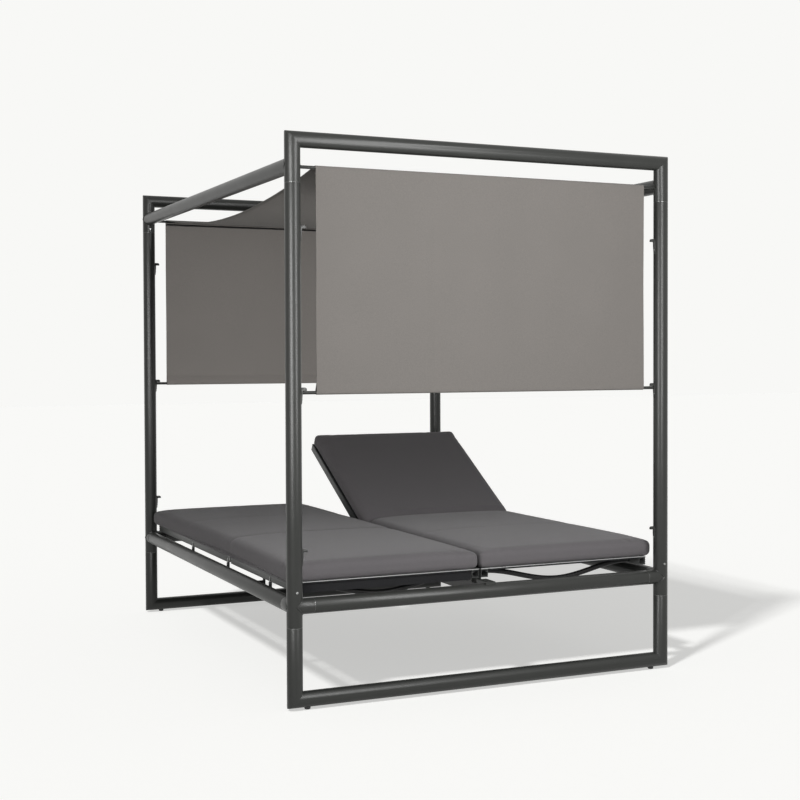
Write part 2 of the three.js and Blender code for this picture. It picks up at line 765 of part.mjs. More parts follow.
function mattressPart(length, panels, seam, way) {
  const rings = mattressRings(length, panels, seam, way);
  const middle = mattressBottom + mattressEdge / 2;
  const shear = (middle - hingeHeight) * Math.tan(foldHalfAngle) + seatGap / Math.cos(foldHalfAngle);
  const tips = [
    [mattressMiddle, foldPlace + way * (length + mattressOverhang + endBulge), middle],
    [mattressMiddle, foldPlace + way * shear, middle],
  ];
  return way > 0 ? skin(rings, tips) : skin(rings.reverse(), tips.reverse());
}

// The foam between the two parts, a wedge about the hinge axis that the raised back squeezes.
function mattressFold(backAngle) {
  const rings = [];
  for (let i = 0; i <= foldSteps; i++) {
    const share = i / foldSteps;
    const deep = Math.sin(Math.PI * share) * foldWaistShare + 1;
    const flatAngle = foldHalfAngle * (2 * share - 1);
    const angle = -foldHalfAngle + share * (2 * foldHalfAngle - backAngle);
    rings.push(mattressSection(foldPull * deep, foldDip * deep, 0).map(([x, z]) => {
      const reach = (z - hingeHeight) / Math.cos(flatAngle);
      return [x, foldPlace + reach * Math.sin(angle), hingeHeight + reach * Math.cos(angle)];
    }));
  }
  return skin(rings.reverse());
}

function turnedAbout(geometry, place, angle) {
  return geometry.translate(0, -place, -hingeHeight).rotateX(angle).translate(0, place, hingeHeight);
}

// One lounger, with its back raised by an angle; the left one is the same, turned end for end.
function addLounger(group, side, backAngle, quarterTurns) {
  const turn = quarterTurns * Math.PI / 2;
  const add = (name, geometry, material) => (
    addPiece(group, `${side}_${name}`, geometry.rotateZ(turn), material)
  );
  const raised = (geometry) => turnedAbout(geometry, foldPlace, backAngle);
  const seatEnd = -loungerHalfLength + slingEndInset;
  const backEnd = loungerHalfLength - slingEndInset;
  const seatLength = foldPlace + loungerHalfLength;
  const seamReachFromHinge = seatLength - seamInset;
  const seatPanels = [
    ...endPanelShares.map((share) => seatLength - share * seamInset),
    ...middlePanelShares.map((share) => seamReachFromHinge * (1 - share)),
  ];
  const backPanels = backPanelShares.map((share) => share * backLength);
  add('seat_inner_rail', seatRail(innerRailPlace), railFinish());
  add('seat_outer_rail', seatRail(outerRailPlace), railFinish());
  add('inner_hinge_pin', hingePin(innerRailPlace), pinSteel());
  add('outer_hinge_pin', hingePin(outerRailPlace), pinSteel());
  const fused = railWall / 2;
  const innerRack = [innerFace - fused, innerFace + rackThickness];
  const outerRack = [outerRailPlace - rackThickness, outerRailPlace + fused];
  add('back_inner_rail', raised(backRail(innerRailPlace, innerRack)), railFinish());
  add('back_outer_rail', raised(backRail(outerRailPlace, outerRack)), railFinish());
  seatCrossPlaces.forEach((place, i) => add(`seat_cross_tube_${i + 1}`, crossTube(place), railFinish()));
  backCrossPlaces.forEach((place, i) => add(`back_cross_tube_${i + 1}`, raised(crossTube(foldPlace + place)),
    railFinish()));
  add('seat_sling', sling(foldPlace - hingeSetback, seatEnd), slingCloth());
  add('back_sling', raised(sling(foldPlace + hingeSetback, backEnd)), slingCloth());
  add('stay', turnedAbout(stay(), foldPlace + stayReach, 2 * backAngle), railFinish());
  add('seat_cushion', mattressPart(seatLength, seatPanels, seamReachFromHinge, -1), mattressCloth());
  add('cushion_fold', mattressFold(backAngle), mattressCloth());
  add('back_cushion', raised(mattressPart(backLength, backPanels, null, 1)), mattressCloth());
}

const daybed = new THREE.Group();
daybed.name = 'daybed_with_canopy';

for (const [end, sy] of [['front', -1], ['back', 1]]) {
  addPiece(daybed, `${end}_base_frame`, portalEnd(sy, lowJointHeight, floorRailHeight), frameFinish());
  addPiece(daybed, `${end}_top_frame`, portalEnd(sy, highJointHeight, topTubeHeight), frameFinish());
  addPiece(daybed, `${end}_left_post`, middlePost(-1, sy), frameFinish());
  addPiece(daybed, `${end}_right_post`, middlePost(1, sy), frameFinish());
  addPiece(daybed, `${end}_bed_rail`, bedRailAcross(sy), frameFinish());
  addPiece(daybed, `${end}_canopy_rod`, canopyRod(sy), frameFinish());
  addPiece(daybed, `${end}_hem_bar`, hemBar(sy), frameFinish());
  addPiece(daybed, `${end}_curtain`, curtain(sy), canopyCloth());
}
for (const [side, sx] of [['left', -1], ['right', 1]]) {
  addPiece(daybed, `${side}_bed_rail`, bedRailAlong().rotateZ(sx < 0 ? Math.PI : 0), frameFinish());
  addPiece(daybed, `${side}_top_rail`, topRail(sx), frameFinish());
}
addPiece(daybed, 'canopy_roof', canopyRoof(), canopyCloth());
addPiece(daybed, 'central_beam', centralBeam(), frameFinish());
for (const [end, sy] of [['front', -1], ['back', 1]]) {
  for (const [side, sx] of [['left', -1], ['right', 1]]) {
    addPiece(daybed, `${end}_${side}_glide`, glide(sx, sy), glidePlastic());
  }
}
addLounger(daybed, 'right', restingBackAngle, 0);
addLounger(daybed, 'left', 0, 2);

export default daybed;
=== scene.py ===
import json
import math

import bmesh
import bpy
from mathutils import Matrix, Vector


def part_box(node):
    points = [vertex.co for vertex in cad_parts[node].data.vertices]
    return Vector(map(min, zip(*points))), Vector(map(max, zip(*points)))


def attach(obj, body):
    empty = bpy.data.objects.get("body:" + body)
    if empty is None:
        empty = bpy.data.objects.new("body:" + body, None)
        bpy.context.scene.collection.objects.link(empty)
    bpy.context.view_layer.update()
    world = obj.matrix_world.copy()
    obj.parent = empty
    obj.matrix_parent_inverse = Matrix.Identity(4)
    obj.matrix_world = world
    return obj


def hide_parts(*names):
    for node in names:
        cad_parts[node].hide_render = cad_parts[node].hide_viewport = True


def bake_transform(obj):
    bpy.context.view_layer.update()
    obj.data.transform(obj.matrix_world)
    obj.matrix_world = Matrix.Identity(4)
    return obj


bl_info = {
    "name": "Canopy Daybed",
    "version": (1, 0, 0),
    "blender": (4, 5, 0),
    "location": "View3D > Sidebar > Daybed",
    "description": "Builds an outdoor daybed with a cloth canopy and two reclining loungers",
    "category": "Object",
}

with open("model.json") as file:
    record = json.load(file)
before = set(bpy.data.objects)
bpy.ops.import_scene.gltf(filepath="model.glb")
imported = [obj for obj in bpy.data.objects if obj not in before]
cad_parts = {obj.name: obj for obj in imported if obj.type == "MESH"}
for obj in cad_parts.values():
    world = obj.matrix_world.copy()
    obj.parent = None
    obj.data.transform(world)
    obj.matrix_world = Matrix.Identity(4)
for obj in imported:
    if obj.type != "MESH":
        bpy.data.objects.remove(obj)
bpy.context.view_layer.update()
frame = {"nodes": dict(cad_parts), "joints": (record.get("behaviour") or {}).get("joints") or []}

MM = 0.001


def joint_named(name):
    return next(joint for joint in frame["joints"] if joint["name"] == name)


def node_box(name):
    low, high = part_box(name)
    return Vector(low), Vector(high)


# Places and sizes taken from the construction, in metres
base_low, base_high = node_box("front_base_frame")
top_low, top_high = node_box("front_top_frame")
front_low, front_high = node_box("front_bed_rail")
side_low, side_high = node_box("right_top_rail")
rod_low, rod_high = node_box("front_canopy_rod")
seat_low, seat_high = node_box("left_seat_inner_rail")
cushion_low, cushion_high = node_box("right_seat_cushion")
TUBE_RADIUS = (base_high.y - base_low.y) / 2
POST_X = base_high.x - TUBE_RADIUS
POST_Y = -(base_low.y + TUBE_RADIUS)
INNER_X = POST_X - TUBE_RADIUS
FLOOR_RAIL_Z = base_low.z + TUBE_RADIUS
LOW_JOINT_Z = base_high.z
HIGH_JOINT_Z = top_low.z
TOP_RAIL_Z = top_high.z - TUBE_RADIUS
BED_RAIL_Z = (front_low.z + front_high.z) / 2
STUB_X = front_high.x
STUB_Y = node_box("right_bed_rail")[1].y
SIDE_RAIL_Z = (side_low.z + side_high.z) / 2
ROD_RADIUS = (rod_high.z - rod_low.z) / 2
ROD_Z = rod_low.z + ROD_RADIUS
ROD_X = rod_high.x
BAR_Z = node_box("front_hem_bar")[0].z + ROD_RADIUS
BAR_X = node_box("front_hem_bar")[1].x
CLOTH_X = node_box("canopy_roof")[1].x
ROOF_LOW_Z = node_box("canopy_roof")[0].z
HINGE = Vector(joint_named("right_back_hinge")["pos_m"])
PIVOT = Vector(joint_named("right_stay_hinge")["pos_m"])
REST_ANGLE = -math.radians(joint_named("right_back_hinge")["range_deg"][0])
FREE_END = seat_high.y
RAIL_BOTTOM = seat_low.z
RAIL_WIDTH = seat_high.z - seat_low.z
INNER_RAIL_X = -seat_high.x
OUTER_RAIL_X = -node_box("left_seat_outer_rail")[1].x
SLING_TOP = node_box("left_seat_sling")[1].z
MATTRESS_X = (cushion_low.x, cushion_high.x)
MATTRESS_Z = (cushion_low.z, cushion_high.z)
SADDLES = (-352 * MM, 165 * MM, 690 * MM)

ENDS = (("front", -1), ("back", 1))
SIDES = (("left", -1), ("right", 1))
CORNERS = [(f"{end}_{side}", sx, sy) for end, sy in ENDS for side, sx in SIDES]

# Turns of a flat outline: standing across the bed, or standing along it with its x towards the back
ACROSS = Matrix.Rotation(math.pi / 2, 4, "X")
ALONG = Matrix.Rotation(math.pi / 2, 4, "Z") @ ACROSS

# The two loungers: name, the turn from the right one's flat place, and how far the back is raised
TURNED = Matrix.Rotation(math.pi, 4, "Z")
LOUNGERS = (("right", Matrix.Identity(4), REST_ANGLE), ("left", TURNED, 0.0))


# Sizes and colours that a user would change


def length(label, size, description):
    """A length property with its default in millimetres."""
    return bpy.props.FloatProperty(name=label, description=description, default=size * MM, unit="LENGTH")


def share(label, value, description):
    return bpy.props.FloatProperty(name=label, description=description, default=value)


def colour(label, value, description):
    return bpy.props.StringProperty(name=label, description=description, default=value)


class FrameSizes(bpy.types.PropertyGroup):
    """Sizes of the canopy frame that the construction leaves open"""

    wall: length("Tube wall", 2.5, "Wall of the round tube")
    edge: length("Edge rounding", 1.4, "Rounding of the tubes' cut ends")
    bead: length("Weld bead", 2.6, "Radius of the weld round a joined tube")
    ring: length("Joint ring", 1.2, "Half the width of the bare ring in a tube joint")
    screw: length("Screw head", 4.5, "Radius of the frame screws' heads")
    low_screw: length("Low screw", 52, "Height of the lower screws above the bed rails' axis")
    high_screw: length("High screw", 16, "Height of the upper screws above the upper joint")
    hook_width: length("Hook width", 12, "Width of a hook along the post's face")
    hook_spacing: length("Hook spacing", 560, "Height between two hooks of a post")
    # Drawn in black plastic: painted shade, the shadow line where the cloth meets a rod
    painted_shade_welt: length("Welt", 4, "Radius of the welt sewn along a canopy rod")


class ClothSizes(bpy.types.PropertyGroup):
    """Sizes of the canopy cloth"""

    thickness: length("Cloth thickness", 1.2, "Thickness of the woven cloth")
    hem: length("Hem height", 34, "Height of the pocket round the hem bar")
    wave: length("Wave depth", 5, "Depth of the curtains' soft folds")
    fold_line: length("Fold line", 0.9, "Depth of the pressed line down a curtain")
    side_hem: length("Side hem", 16, "Width of the hems at the roof's sides")
    thread: length("Thread spacing", 2.4, "Spacing of the threads, drawn coarse so that they show")


class LoungerSizes(bpy.types.PropertyGroup):
    """Sizes of the loungers' rails, bows and stays"""

    rail_wall: length("Rail wall", 2.4, "Wall of the rails")
    groove: length("Groove width", 3, "Width of the rails' long grooves")
    bow_drop: length("Bow drop", 50, "How far a cross tube bows down")
    bow_radius: length("Bow radius", 10, "Radius of a cross tube")
    flap: length("Flap", 36, "How far the hem hangs at a back's free end")
    hem_rod: length("Hem rod", 1.8, "Radius of the rod at a sling's free end")
    leg_inset: length("Stay leg inset", 156, "From a rail to the stay's nearer leg")


class MattressSizes(bpy.types.PropertyGroup):
    """Sizes of the mattresses"""

    edge: length("Edge height", 61, "Height of the mattress at its sides")
    rounding: length("Edge rounding", 20, "Rounding of the boxed edges")
    overhang: length("Overhang", 33, "How far the cover stands past the outer rail")
    lip: length("Lip thickness", 6, "Thickness of the cover's lip past the outer rail")
    droop: length("Lip droop", 3, "How far the lip hangs below the sling")
    voxel: length("Cloth grain", 6, "Edge of the cells that the swelling works on")
    swell: length("Swelling", 22, "How far the cover may swell")
    swell_share: share("Swelling kept", 0.3, "Share of the swelling that is kept")
    seam: length("Seam depth", 2.6, "Depth of the sewn line across the top")
    seam_place: length("Seam place", -390, "Sewn line, from the middle of the bed")
    crease: length("Crease depth", 10, "Depth of the crease where the back folds")
    fill: share("Fill", 0.75, "How tightly the cover is filled")


class FinishColours(bpy.types.PropertyGroup):
    """Colours of the finishes, as sRGB hex values"""

    frame: colour("Frame", "#343533", "Powder coat of the canopy frame")
    rail: colour("Rails", "#4a4b4a", "Powder coat of the loungers")
    # Near black: painted shade on the cross tubes, which carry the rails' grey coat and sit in shade under the
    # mattresses
    bow: colour("Bows", "#161616", "Powder coat of the cross tubes")
    # Light grey: painted highlight, a lighter copy of the rails' coat for the bright line along the slings' end rods
    # and on the clips
    hem_rod: colour("Hem rods", "#b4b5b4", "Light coat of the slings' end rods")
    canopy: colour("Canopy", "#7e7a76", "Canopy cloth")
    sling: colour("Sling", "#1c1c1e", "Slings under the mattresses")
    mattress: colour("Mattress", "#6c696b", "Mattress covers")
    glide: colour("Glides", "#171717", "Moulded glides")
    steel: colour("Steel", "#9a9b9a", "Screws, pins and joint rings")
    floor: colour("Floor", "#f8f8f6", "Studio floor")


def sizes(group):
    return getattr(bpy.context.scene, "daybed_" + group)


# Materials


def channels(hex_value):
    return [int(hex_value[i:i + 2], 16) for i in (1, 3, 5)]


def linear(hex_value):
    """An sRGB hex value as the linear colour that the shader takes."""
    shares = [c / 255 for c in channels(hex_value)]
    return [c / 12.92 if c <= 0.04045 else ((c + 0.055) / 1.055) ** 2.4 for c in shares] + [1.0]


def shade(hex_value, ratio):
    """A hex value made lighter or darker by a ratio."""
    return "#" + "".join(f"{min(255, round(c * ratio)):02x}" for c in channels(hex_value))


def add_node(material, kind, settings=None, links=None):
    """Adds a node with its settings; a socket takes a value, another socket, or a node's first output."""
    tree = material.node_tree
    node = tree.nodes.new("ShaderNode" + kind)
    for name, value in (settings or {}).items():
        setattr(node, name, value)
    for socket, value in (links or {}).items():
        if isinstance(value, bpy.types.Node):
            value = value.outputs[0]
        if isinstance(value, bpy.types.NodeSocket):
            tree.links.new(value, node.inputs[socket])
        else:
            node.inputs[socket].default_value = value
    return node


def new_material(name):
    """An empty material and its object coordinates."""
    material = bpy.data.materials.new(name)
    material.use_nodes = True
    material.node_tree.nodes.clear()
    return material, add_node(material, "TexCoord").outputs["Object"]


def finish_material(material, shader):
    add_node(material, "OutputMaterial", links={"Surface": shader})
    return material


def colour_mix(material, low, high, factor):
    """A colour between two hex values, by a factor."""
    mix = add_node(material, "Mix", {"data_type": "RGBA"}, {0: factor, 6: linear(low), 7: linear(high)})
    return mix.outputs[2]


def powder_coat(name, hue, roughness):
    """Polyester powder coat on aluminium: even, semi-gloss, with the fine orange peel of a baked film."""
    material, point = new_material(name)
    peel, cloud = (
        add_node(material, "TexNoise", links={"Vector": point, "Scale": 1 / grain, "Detail": detail})
        for grain, detail in ((1.6 * MM, 2.0), (90 * MM, 3.0))
    )
    bump = add_node(material, "Bump", links={"Height": peel, "Distance": 0.06 * MM, "Strength": 0.5})
    rough = add_node(material, "MapRange", links={
        "Value": cloud, "To Min": roughness - 0.05, "To Max": roughness + 0.06,
    })
    shader = add_node(material, "BsdfPrincipled", links={
        "Base Color": colour_mix(material, shade(hue, 0.95), shade(hue, 1.05), cloud), "Roughness": rough,
        "Normal": bump, "Metallic": 0.0, "IOR": 1.5, "Specular IOR Level": 0.3,
    })
    return finish_material(material, shader)


def thread_waves(material, point, spacing, axis):
    """Bands across one axis, one band to each thread."""
    split = add_node(material, "SeparateXYZ", links={"Vector": point})
    angle = add_node(material, "Math", {"operation": "MULTIPLY"}, {0: split.outputs[axis], 1: math.tau / spacing})
    return add_node(material, "Math", {"operation": "SINE"}, {0: angle})


def woven_cloth(name, hue, axes, contrast, roughness, sheen, relief):
    """Solution-dyed acrylic in a plain weave: matte, softly mottled, each thread a little lighter or darker."""
    material, point = new_material(name)
    wobble = add_node(material, "TexNoise", links={"Vector": point, "Scale": 1 / (14 * MM), "Detail": 2.0})
    warp, weft = (thread_waves(material, point, sizes("cloth").thread, axis) for axis in axes)
    cross = add_node(material, "Math", {"operation": "MULTIPLY"}, {0: warp, 1: weft})
    fleck = add_node(material, "TexNoise", links={
        "Vector": point, "Scale": 1 / (3.2 * MM), "Detail": 4.0, "Roughness": 0.7,
    })
    mottle = add_node(material, "TexNoise", links={"Vector": point, "Scale": 1 / (160 * MM), "Detail": 3.0})
    tone = add_node(material, "Math", {"operation": "MULTIPLY_ADD"}, {0: cross, 1: 0.18, 2: fleck})
    tone = add_node(material, "Math", {"operation": "MULTIPLY_ADD"}, {0: mottle, 1: 0.15, 2: tone})
    factor = add_node(material, "MapRange", links={"Value": tone, "From Min": 0.25, "From Max": 0.9})
    height = add_node(material, "Math", {"operation": "MULTIPLY_ADD"}, {0: wobble, 1: 0.6, 2: cross})
    bump = add_node(material, "Bump", links={"Height": height, "Distance": relief, "Strength": 0.7})
    shader = add_node(material, "BsdfPrincipled", links={
        "Base Color": colour_mix(material, shade(hue, 1 - contrast), shade(hue, 1 + contrast), factor),
        "Roughness": roughness, "Normal": bump, "IOR": 1.45, "Specular IOR Level": 0.25,
        "Sheen Weight": sheen, "Sheen Roughness": 0.5,
    })
    return finish_material(material, shader)


def moulded_plastic(name, hue):
    """Injection-moulded polyethylene: black, slightly waxy, with a fine spark-eroded grain."""
    material, point = new_material(name)
    grain = add_node(material, "TexNoise", links={"Vector": point, "Scale": 1 / (0.8 * MM), "Detail": 3.0})
    bump = add_node(material, "Bump", links={"Height": grain, "Distance": 0.05 * MM})
    shader = add_node(material, "BsdfPrincipled", links={
        "Base Color": colour_mix(material, hue, shade(hue, 1.3), grain), "Roughness": 0.55, "Normal": bump, "IOR": 1.5,
    })
    return finish_material(material, shader)


def turned_steel(name, hue):
    """Stainless steel, turned: bright, with fine marks that blur its reflections."""
    material, point = new_material(name)
    marks = add_node(material, "TexNoise", links={"Vector": point, "Scale": 1 / (0.6 * MM), "Detail": 2.0})
    bump = add_node(material, "Bump", links={"Height": marks, "Distance": 0.02 * MM})
    rough = add_node(material, "MapRange", links={"Value": marks, "To Min": 0.24, "To Max": 0.4})
    shader = add_node(material, "BsdfPrincipled", links={
        "Base Color": colour_mix(material, shade(hue, 0.9), hue, marks), "Metallic": 1.0, "Roughness": rough,
        "Normal": bump,
    })
    return finish_material(material, shader)


def finish_for(finish):
    """The material of a finish, made once."""
    name = "daybed_" + finish
    if name in bpy.data.materials:
        return bpy.data.materials[name]
    hues = sizes("colours")
    # A coat takes its roughness; a cloth its threads' axes, contrast, roughness, sheen and relief
    finishes = {
        "canopy_frame_coat": (powder_coat, hues.frame, 0.34),
        "lounger_frame_coat": (powder_coat, hues.rail, 0.34),
        # The bows' near-black coat is painted shade; the light coat of the hem rods and clips is a painted highlight
        "bow_coat": (powder_coat, hues.bow, 0.5),
        "hem_rod_coat": (powder_coat, hues.hem_rod, 0.3),
        "canopy_fabric": (woven_cloth, hues.canopy, "XY", 0.06, 0.92, 0.1, 0.12 * MM),
        "curtain_fabric": (woven_cloth, hues.canopy, "XZ", 0.06, 0.92, 0.1, 0.12 * MM),
        "sling_fabric": (woven_cloth, hues.sling, "XY", 0.2, 0.85, 0.05, 0.3 * MM),
        "mattress_fabric": (woven_cloth, hues.mattress, "XY", 0.08, 0.95, 0.25, 0.25 * MM),
        "glide_plastic": (moulded_plastic, hues.glide),
        "pin_steel": (turned_steel, hues.steel),
    }
    make, *values = finishes[finish]
    return make(name, *values)


# Modelling helpers


def clear_selection():
    if bpy.context.object and bpy.context.object.mode != "OBJECT":
        bpy.ops.object.mode_set(mode="OBJECT")
    bpy.ops.object.select_all(action="DESELECT")


def make_active(obj):
    clear_selection()
    obj.select_set(True)
    bpy.context.view_layer.objects.active = obj


def settle(obj):
    """Puts the object's place, turn and size into its mesh."""
    make_active(obj)
    bpy.ops.object.transform_apply(location=True, rotation=True, scale=True)


def named(name):
    obj = bpy.context.object
    obj.name = name
    obj.data.name = name
    return obj


def primitive(kind, name, **settings):
    """A mesh primitive of a kind, with a name."""
    clear_selection()
    getattr(bpy.ops.mesh, f"primitive_{kind}_add")(**settings)
    return named(name)


def apply_modifier(obj, kind, **settings):
    make_active(obj)
    modifier = obj.modifiers.new(kind.title(), kind)
    for key, value in settings.items():
        setattr(modifier, key, value)
    bpy.ops.object.modifier_apply(modifier=modifier.name)


def bevel(obj, width, segments=2, angle=math.radians(30)):
    apply_modifier(obj, "BEVEL", width=width, segments=segments, limit_method="ANGLE", angle_limit=angle,
                   harden_normals=False)


def smooth(obj, angle=math.radians(35)):
    make_active(obj)
    bpy.ops.object.shade_smooth_by_angle(angle=angle)


def tidy_normals(obj):
    make_active(obj)
    bpy.ops.object.mode_set(mode="EDIT")
    bpy.ops.mesh.select_all(action="SELECT")
    bpy.ops.mesh.remove_doubles(threshold=0.01 * MM)
    bpy.ops.mesh.normals_make_consistent(inside=False)
    bpy.ops.object.mode_set(mode="OBJECT")


def pick(kind, test):
    """Selects the vertices or faces of the edited mesh that pass a test, and nothing else."""
    bpy.ops.mesh.select_mode(type=kind)
    bpy.ops.mesh.select_all(action="DESELECT")
    mesh = bmesh.from_edit_mesh(bpy.context.object.data)
    for part in mesh.verts if kind == "VERT" else mesh.faces:
        part.select_set(test(part))
    mesh.select_flush_mode()
    bmesh.update_edit_mesh(bpy.context.object.data)


def block(name, middle, size, rounding, segments=2):
    """A box with rounded edges."""
    obj = primitive("cube", name, size=1, location=middle)
    obj.scale = size
    settle(obj)
    bevel(obj, rounding, segments)
    return obj


def round_bar(name, start, end, radius, edge=0.0, sides=40):
    """A round bar between two points, its ends rounded."""
    start, end = Vector(start), Vector(end)
    along = end - start
    obj = primitive("cylinder", name, vertices=sides, radius=radius, depth=along.length, location=(start + end) / 2,
                    rotation=along.to_track_quat("Z", "Y").to_euler())
    settle(obj)
    if edge:
        bevel(obj, edge, 3)
    return obj


def cross_bar(name, half, y, z, radius, edge, sides):
    """A round bar across the bed, as long to the left as to the right."""
    return round_bar(name, (-half, y, z), (half, y, z), radius, edge, sides)


def curve_mesh(name, lines, closed, **settings):
    """A mesh from lines of points, by a curve's settings."""
    curve = bpy.data.curves.new(name, "CURVE")
    for key, value in settings.items():
        setattr(curve, key, value)
    for line in lines:
        spline = curve.splines.new("POLY")
        spline.points.add(len(line) - 1)
        spline.use_cyclic_u = closed
        for point, place in zip(spline.points, line):
            point.co = (*place, 1)
    obj = bpy.data.objects.new(name, curve)
    bpy.context.collection.objects.link(obj)
    make_active(obj)
    bpy.ops.object.convert(target="MESH")
    tidy_normals(obj)
    return obj


def plate(name, outlines, thickness, rounding, turn, place):
    """A plate from flat outlines, the first its edge and the others holes, turned and put in place."""
    lines = [[(x, y, 0) for x, y in outline] for outline in outlines]
    obj = curve_mesh(name, lines, True, dimensions="2D", fill_mode="BOTH", extrude=thickness / 2 - rounding,
                     bevel_depth=rounding, bevel_resolution=1, offset=-rounding)
    obj.matrix_world = Matrix.Translation(place) @ turn
    settle(obj)
    return obj


def joined(name, pieces):
    """Several pieces as one object."""
    clear_selection()
    for piece in pieces:
        piece.select_set(True)
    bpy.context.view_layer.objects.active = pieces[0]
    bpy.ops.object.join()
    return named(name)


def reshape(obj, place):
    """Puts each point of a piece where a function of its place says."""
    for vert in obj.data.vertices:
        vert.co = place(*vert.co)


def dress(obj, body, slot, finish=None, nodes=(), move=None):
    """Moves a piece into place and gives it its finish, its body and the solids that it stands for."""
    if move:
        obj.data.transform(move)
    obj.data.materials.clear()
    obj.data.materials.append(finish_for(finish or slot))
    smooth(obj)
    if body:
        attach(obj, body)
    if nodes:
        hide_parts(*nodes)
    return obj


def frame_piece(obj, *nodes):
    """Dresses a powder-coated piece of the canopy frame."""
    return dress(obj, "frame", "canopy_frame_coat", nodes=nodes)


def arc(centre, radius, start, end, steps):
    """Points of an arc in a flat outline, by angles in degrees."""
    angles = [math.radians(start + (end - start) * i / steps) for i in range(steps + 1)]
    return [(centre[0] + radius * math.cos(a), centre[1] + radius * math.sin(a)) for a in angles]


def hole(radius, centre=(0, 0)):
    """A round hole as an outline of a plate."""
    return arc(centre, radius, 0, 345, 23)


def turned_about(place, angle):
    """A turn about the X axis through a place."""
    return Matrix.Translation(place) @ Matrix.Rotation(angle, 4, "X") @ Matrix.Translation(-place)


# The canopy frame


def mitred_end(name, y, open_z, rail_z):
    """A portal end, drawn as one ring that is pushed up a leg, across and down the other."""
    own = sizes("frame")
    up = 1 if rail_z > open_z else -1
    obj = primitive("circle", name, vertices=48, radius=TUBE_RADIUS, location=(-POST_X, y, open_z))
    settle(obj)
    bpy.ops.object.mode_set(mode="EDIT")
    bpy.ops.mesh.select_all(action="SELECT")
    corners = [Vector((-POST_X, y, rail_z)), Vector((POST_X, y, rail_z)), Vector((POST_X, y, open_z))]
    steps = [Vector((0, 0, rail_z - open_z)), Vector((2 * POST_X, 0, 0)), Vector((0, 0, open_z - rail_z))]
    for index, (corner, step, degrees) in enumerate(zip(corners, steps, (45, 90, 45))):
        bpy.ops.mesh.extrude_region_move(TRANSFORM_OT_translate={"value": step})
        if index == 0:
            bpy.ops.transform.resize(value=(math.sqrt(2), 1, 1), center_override=corner)
        bpy.ops.transform.rotate(value=-up * math.radians(degrees), orient_axis="Y", center_override=corner)
        if index == 2:
            bpy.ops.transform.resize(value=(1 / math.sqrt(2), 1, 1), center_override=corner)
    bpy.ops.object.mode_set(mode="OBJECT")
    tidy_normals(obj)
    apply_modifier(obj, "SOLIDIFY", thickness=own.wall, offset=-1.0)
    bevel(obj, own.edge, 2, math.radians(25))
    return obj


def joint_ring(place, along):
    """The thin bare ring that shows between two tubes, a hair narrower than them."""
    own = sizes("frame")
    half = along * own.ring
    return round_bar("ring", place - half, place + half, TUBE_RADIUS - own.edge / 2)


def stub_bead(place, along):
    """The weld where a tube of the same size meets a post, its axis through a place on the post's."""
    across = Vector((-along.y, along.x, 0))
    points = []
    for i in range(72):
        side, rise = math.cos(math.tau * i / 72), math.sin(math.tau * i / 72)
        reach = math.sqrt(max(1 - side * side, 0))
        points.append(place + (along * reach + across * side + Vector((0, 0, rise))) * TUBE_RADIUS)
    return curve_mesh("bead", [points], True, dimensions="3D", bevel_depth=sizes("frame").bead, bevel_resolution=2)


class DAYBED_OT_portals(bpy.types.Operator):
    """Makes the base frames and top frames of both portals"""

    bl_idname = "daybed.portals"
    bl_label = "Portal ends"

    def execute(self, context):
        for end, sy in ENDS:
            for part, open_z, rail_z in (("base", LOW_JOINT_Z, FLOOR_RAIL_Z), ("top", HIGH_JOINT_Z, TOP_RAIL_Z)):
                tube = mitred_end(f"{end}_{part}_tube", sy * POST_Y, open_z, rail_z)
                frame_piece(tube, f"{end}_{part}_frame")
        return {"FINISHED"}


class DAYBED_OT_posts(bpy.types.Operator):
    """Makes the four middle posts with their welded stubs and joint rings"""

    bl_idname = "daybed.posts"
    bl_label = "Posts"

    def execute(self, context):
        edge = sizes("frame").edge
        up = Vector((0, 0, 1))
        for corner, sx, sy in CORNERS:
            low, level, high = (Vector((sx * POST_X, sy * POST_Y, z)) for z in (LOW_JOINT_Z, BED_RAIL_Z, HIGH_JOINT_Z))
            parts = [round_bar("post", low, high, TUBE_RADIUS, edge, 48)]
            rings = [joint_ring(low, up), joint_ring(high, up)]
            for along, end in (
                (Vector((sx, 0, 0)), Vector((sx * STUB_X, sy * POST_Y, BED_RAIL_Z))),
                (Vector((0, sy, 0)), Vector((sx * POST_X, sy * STUB_Y, BED_RAIL_Z))),
            ):
                parts += [round_bar("stub", level, end, TUBE_RADIUS, edge, 48), stub_bead(level, -along)]
                rings.append(joint_ring(end, along))
            frame_piece(joined(f"{corner}_post_tube", parts), f"{corner}_post")
            dress(joined(f"{corner}_post_joint_rings", rings), "frame", "pin_steel")
        return {"FINISHED"}


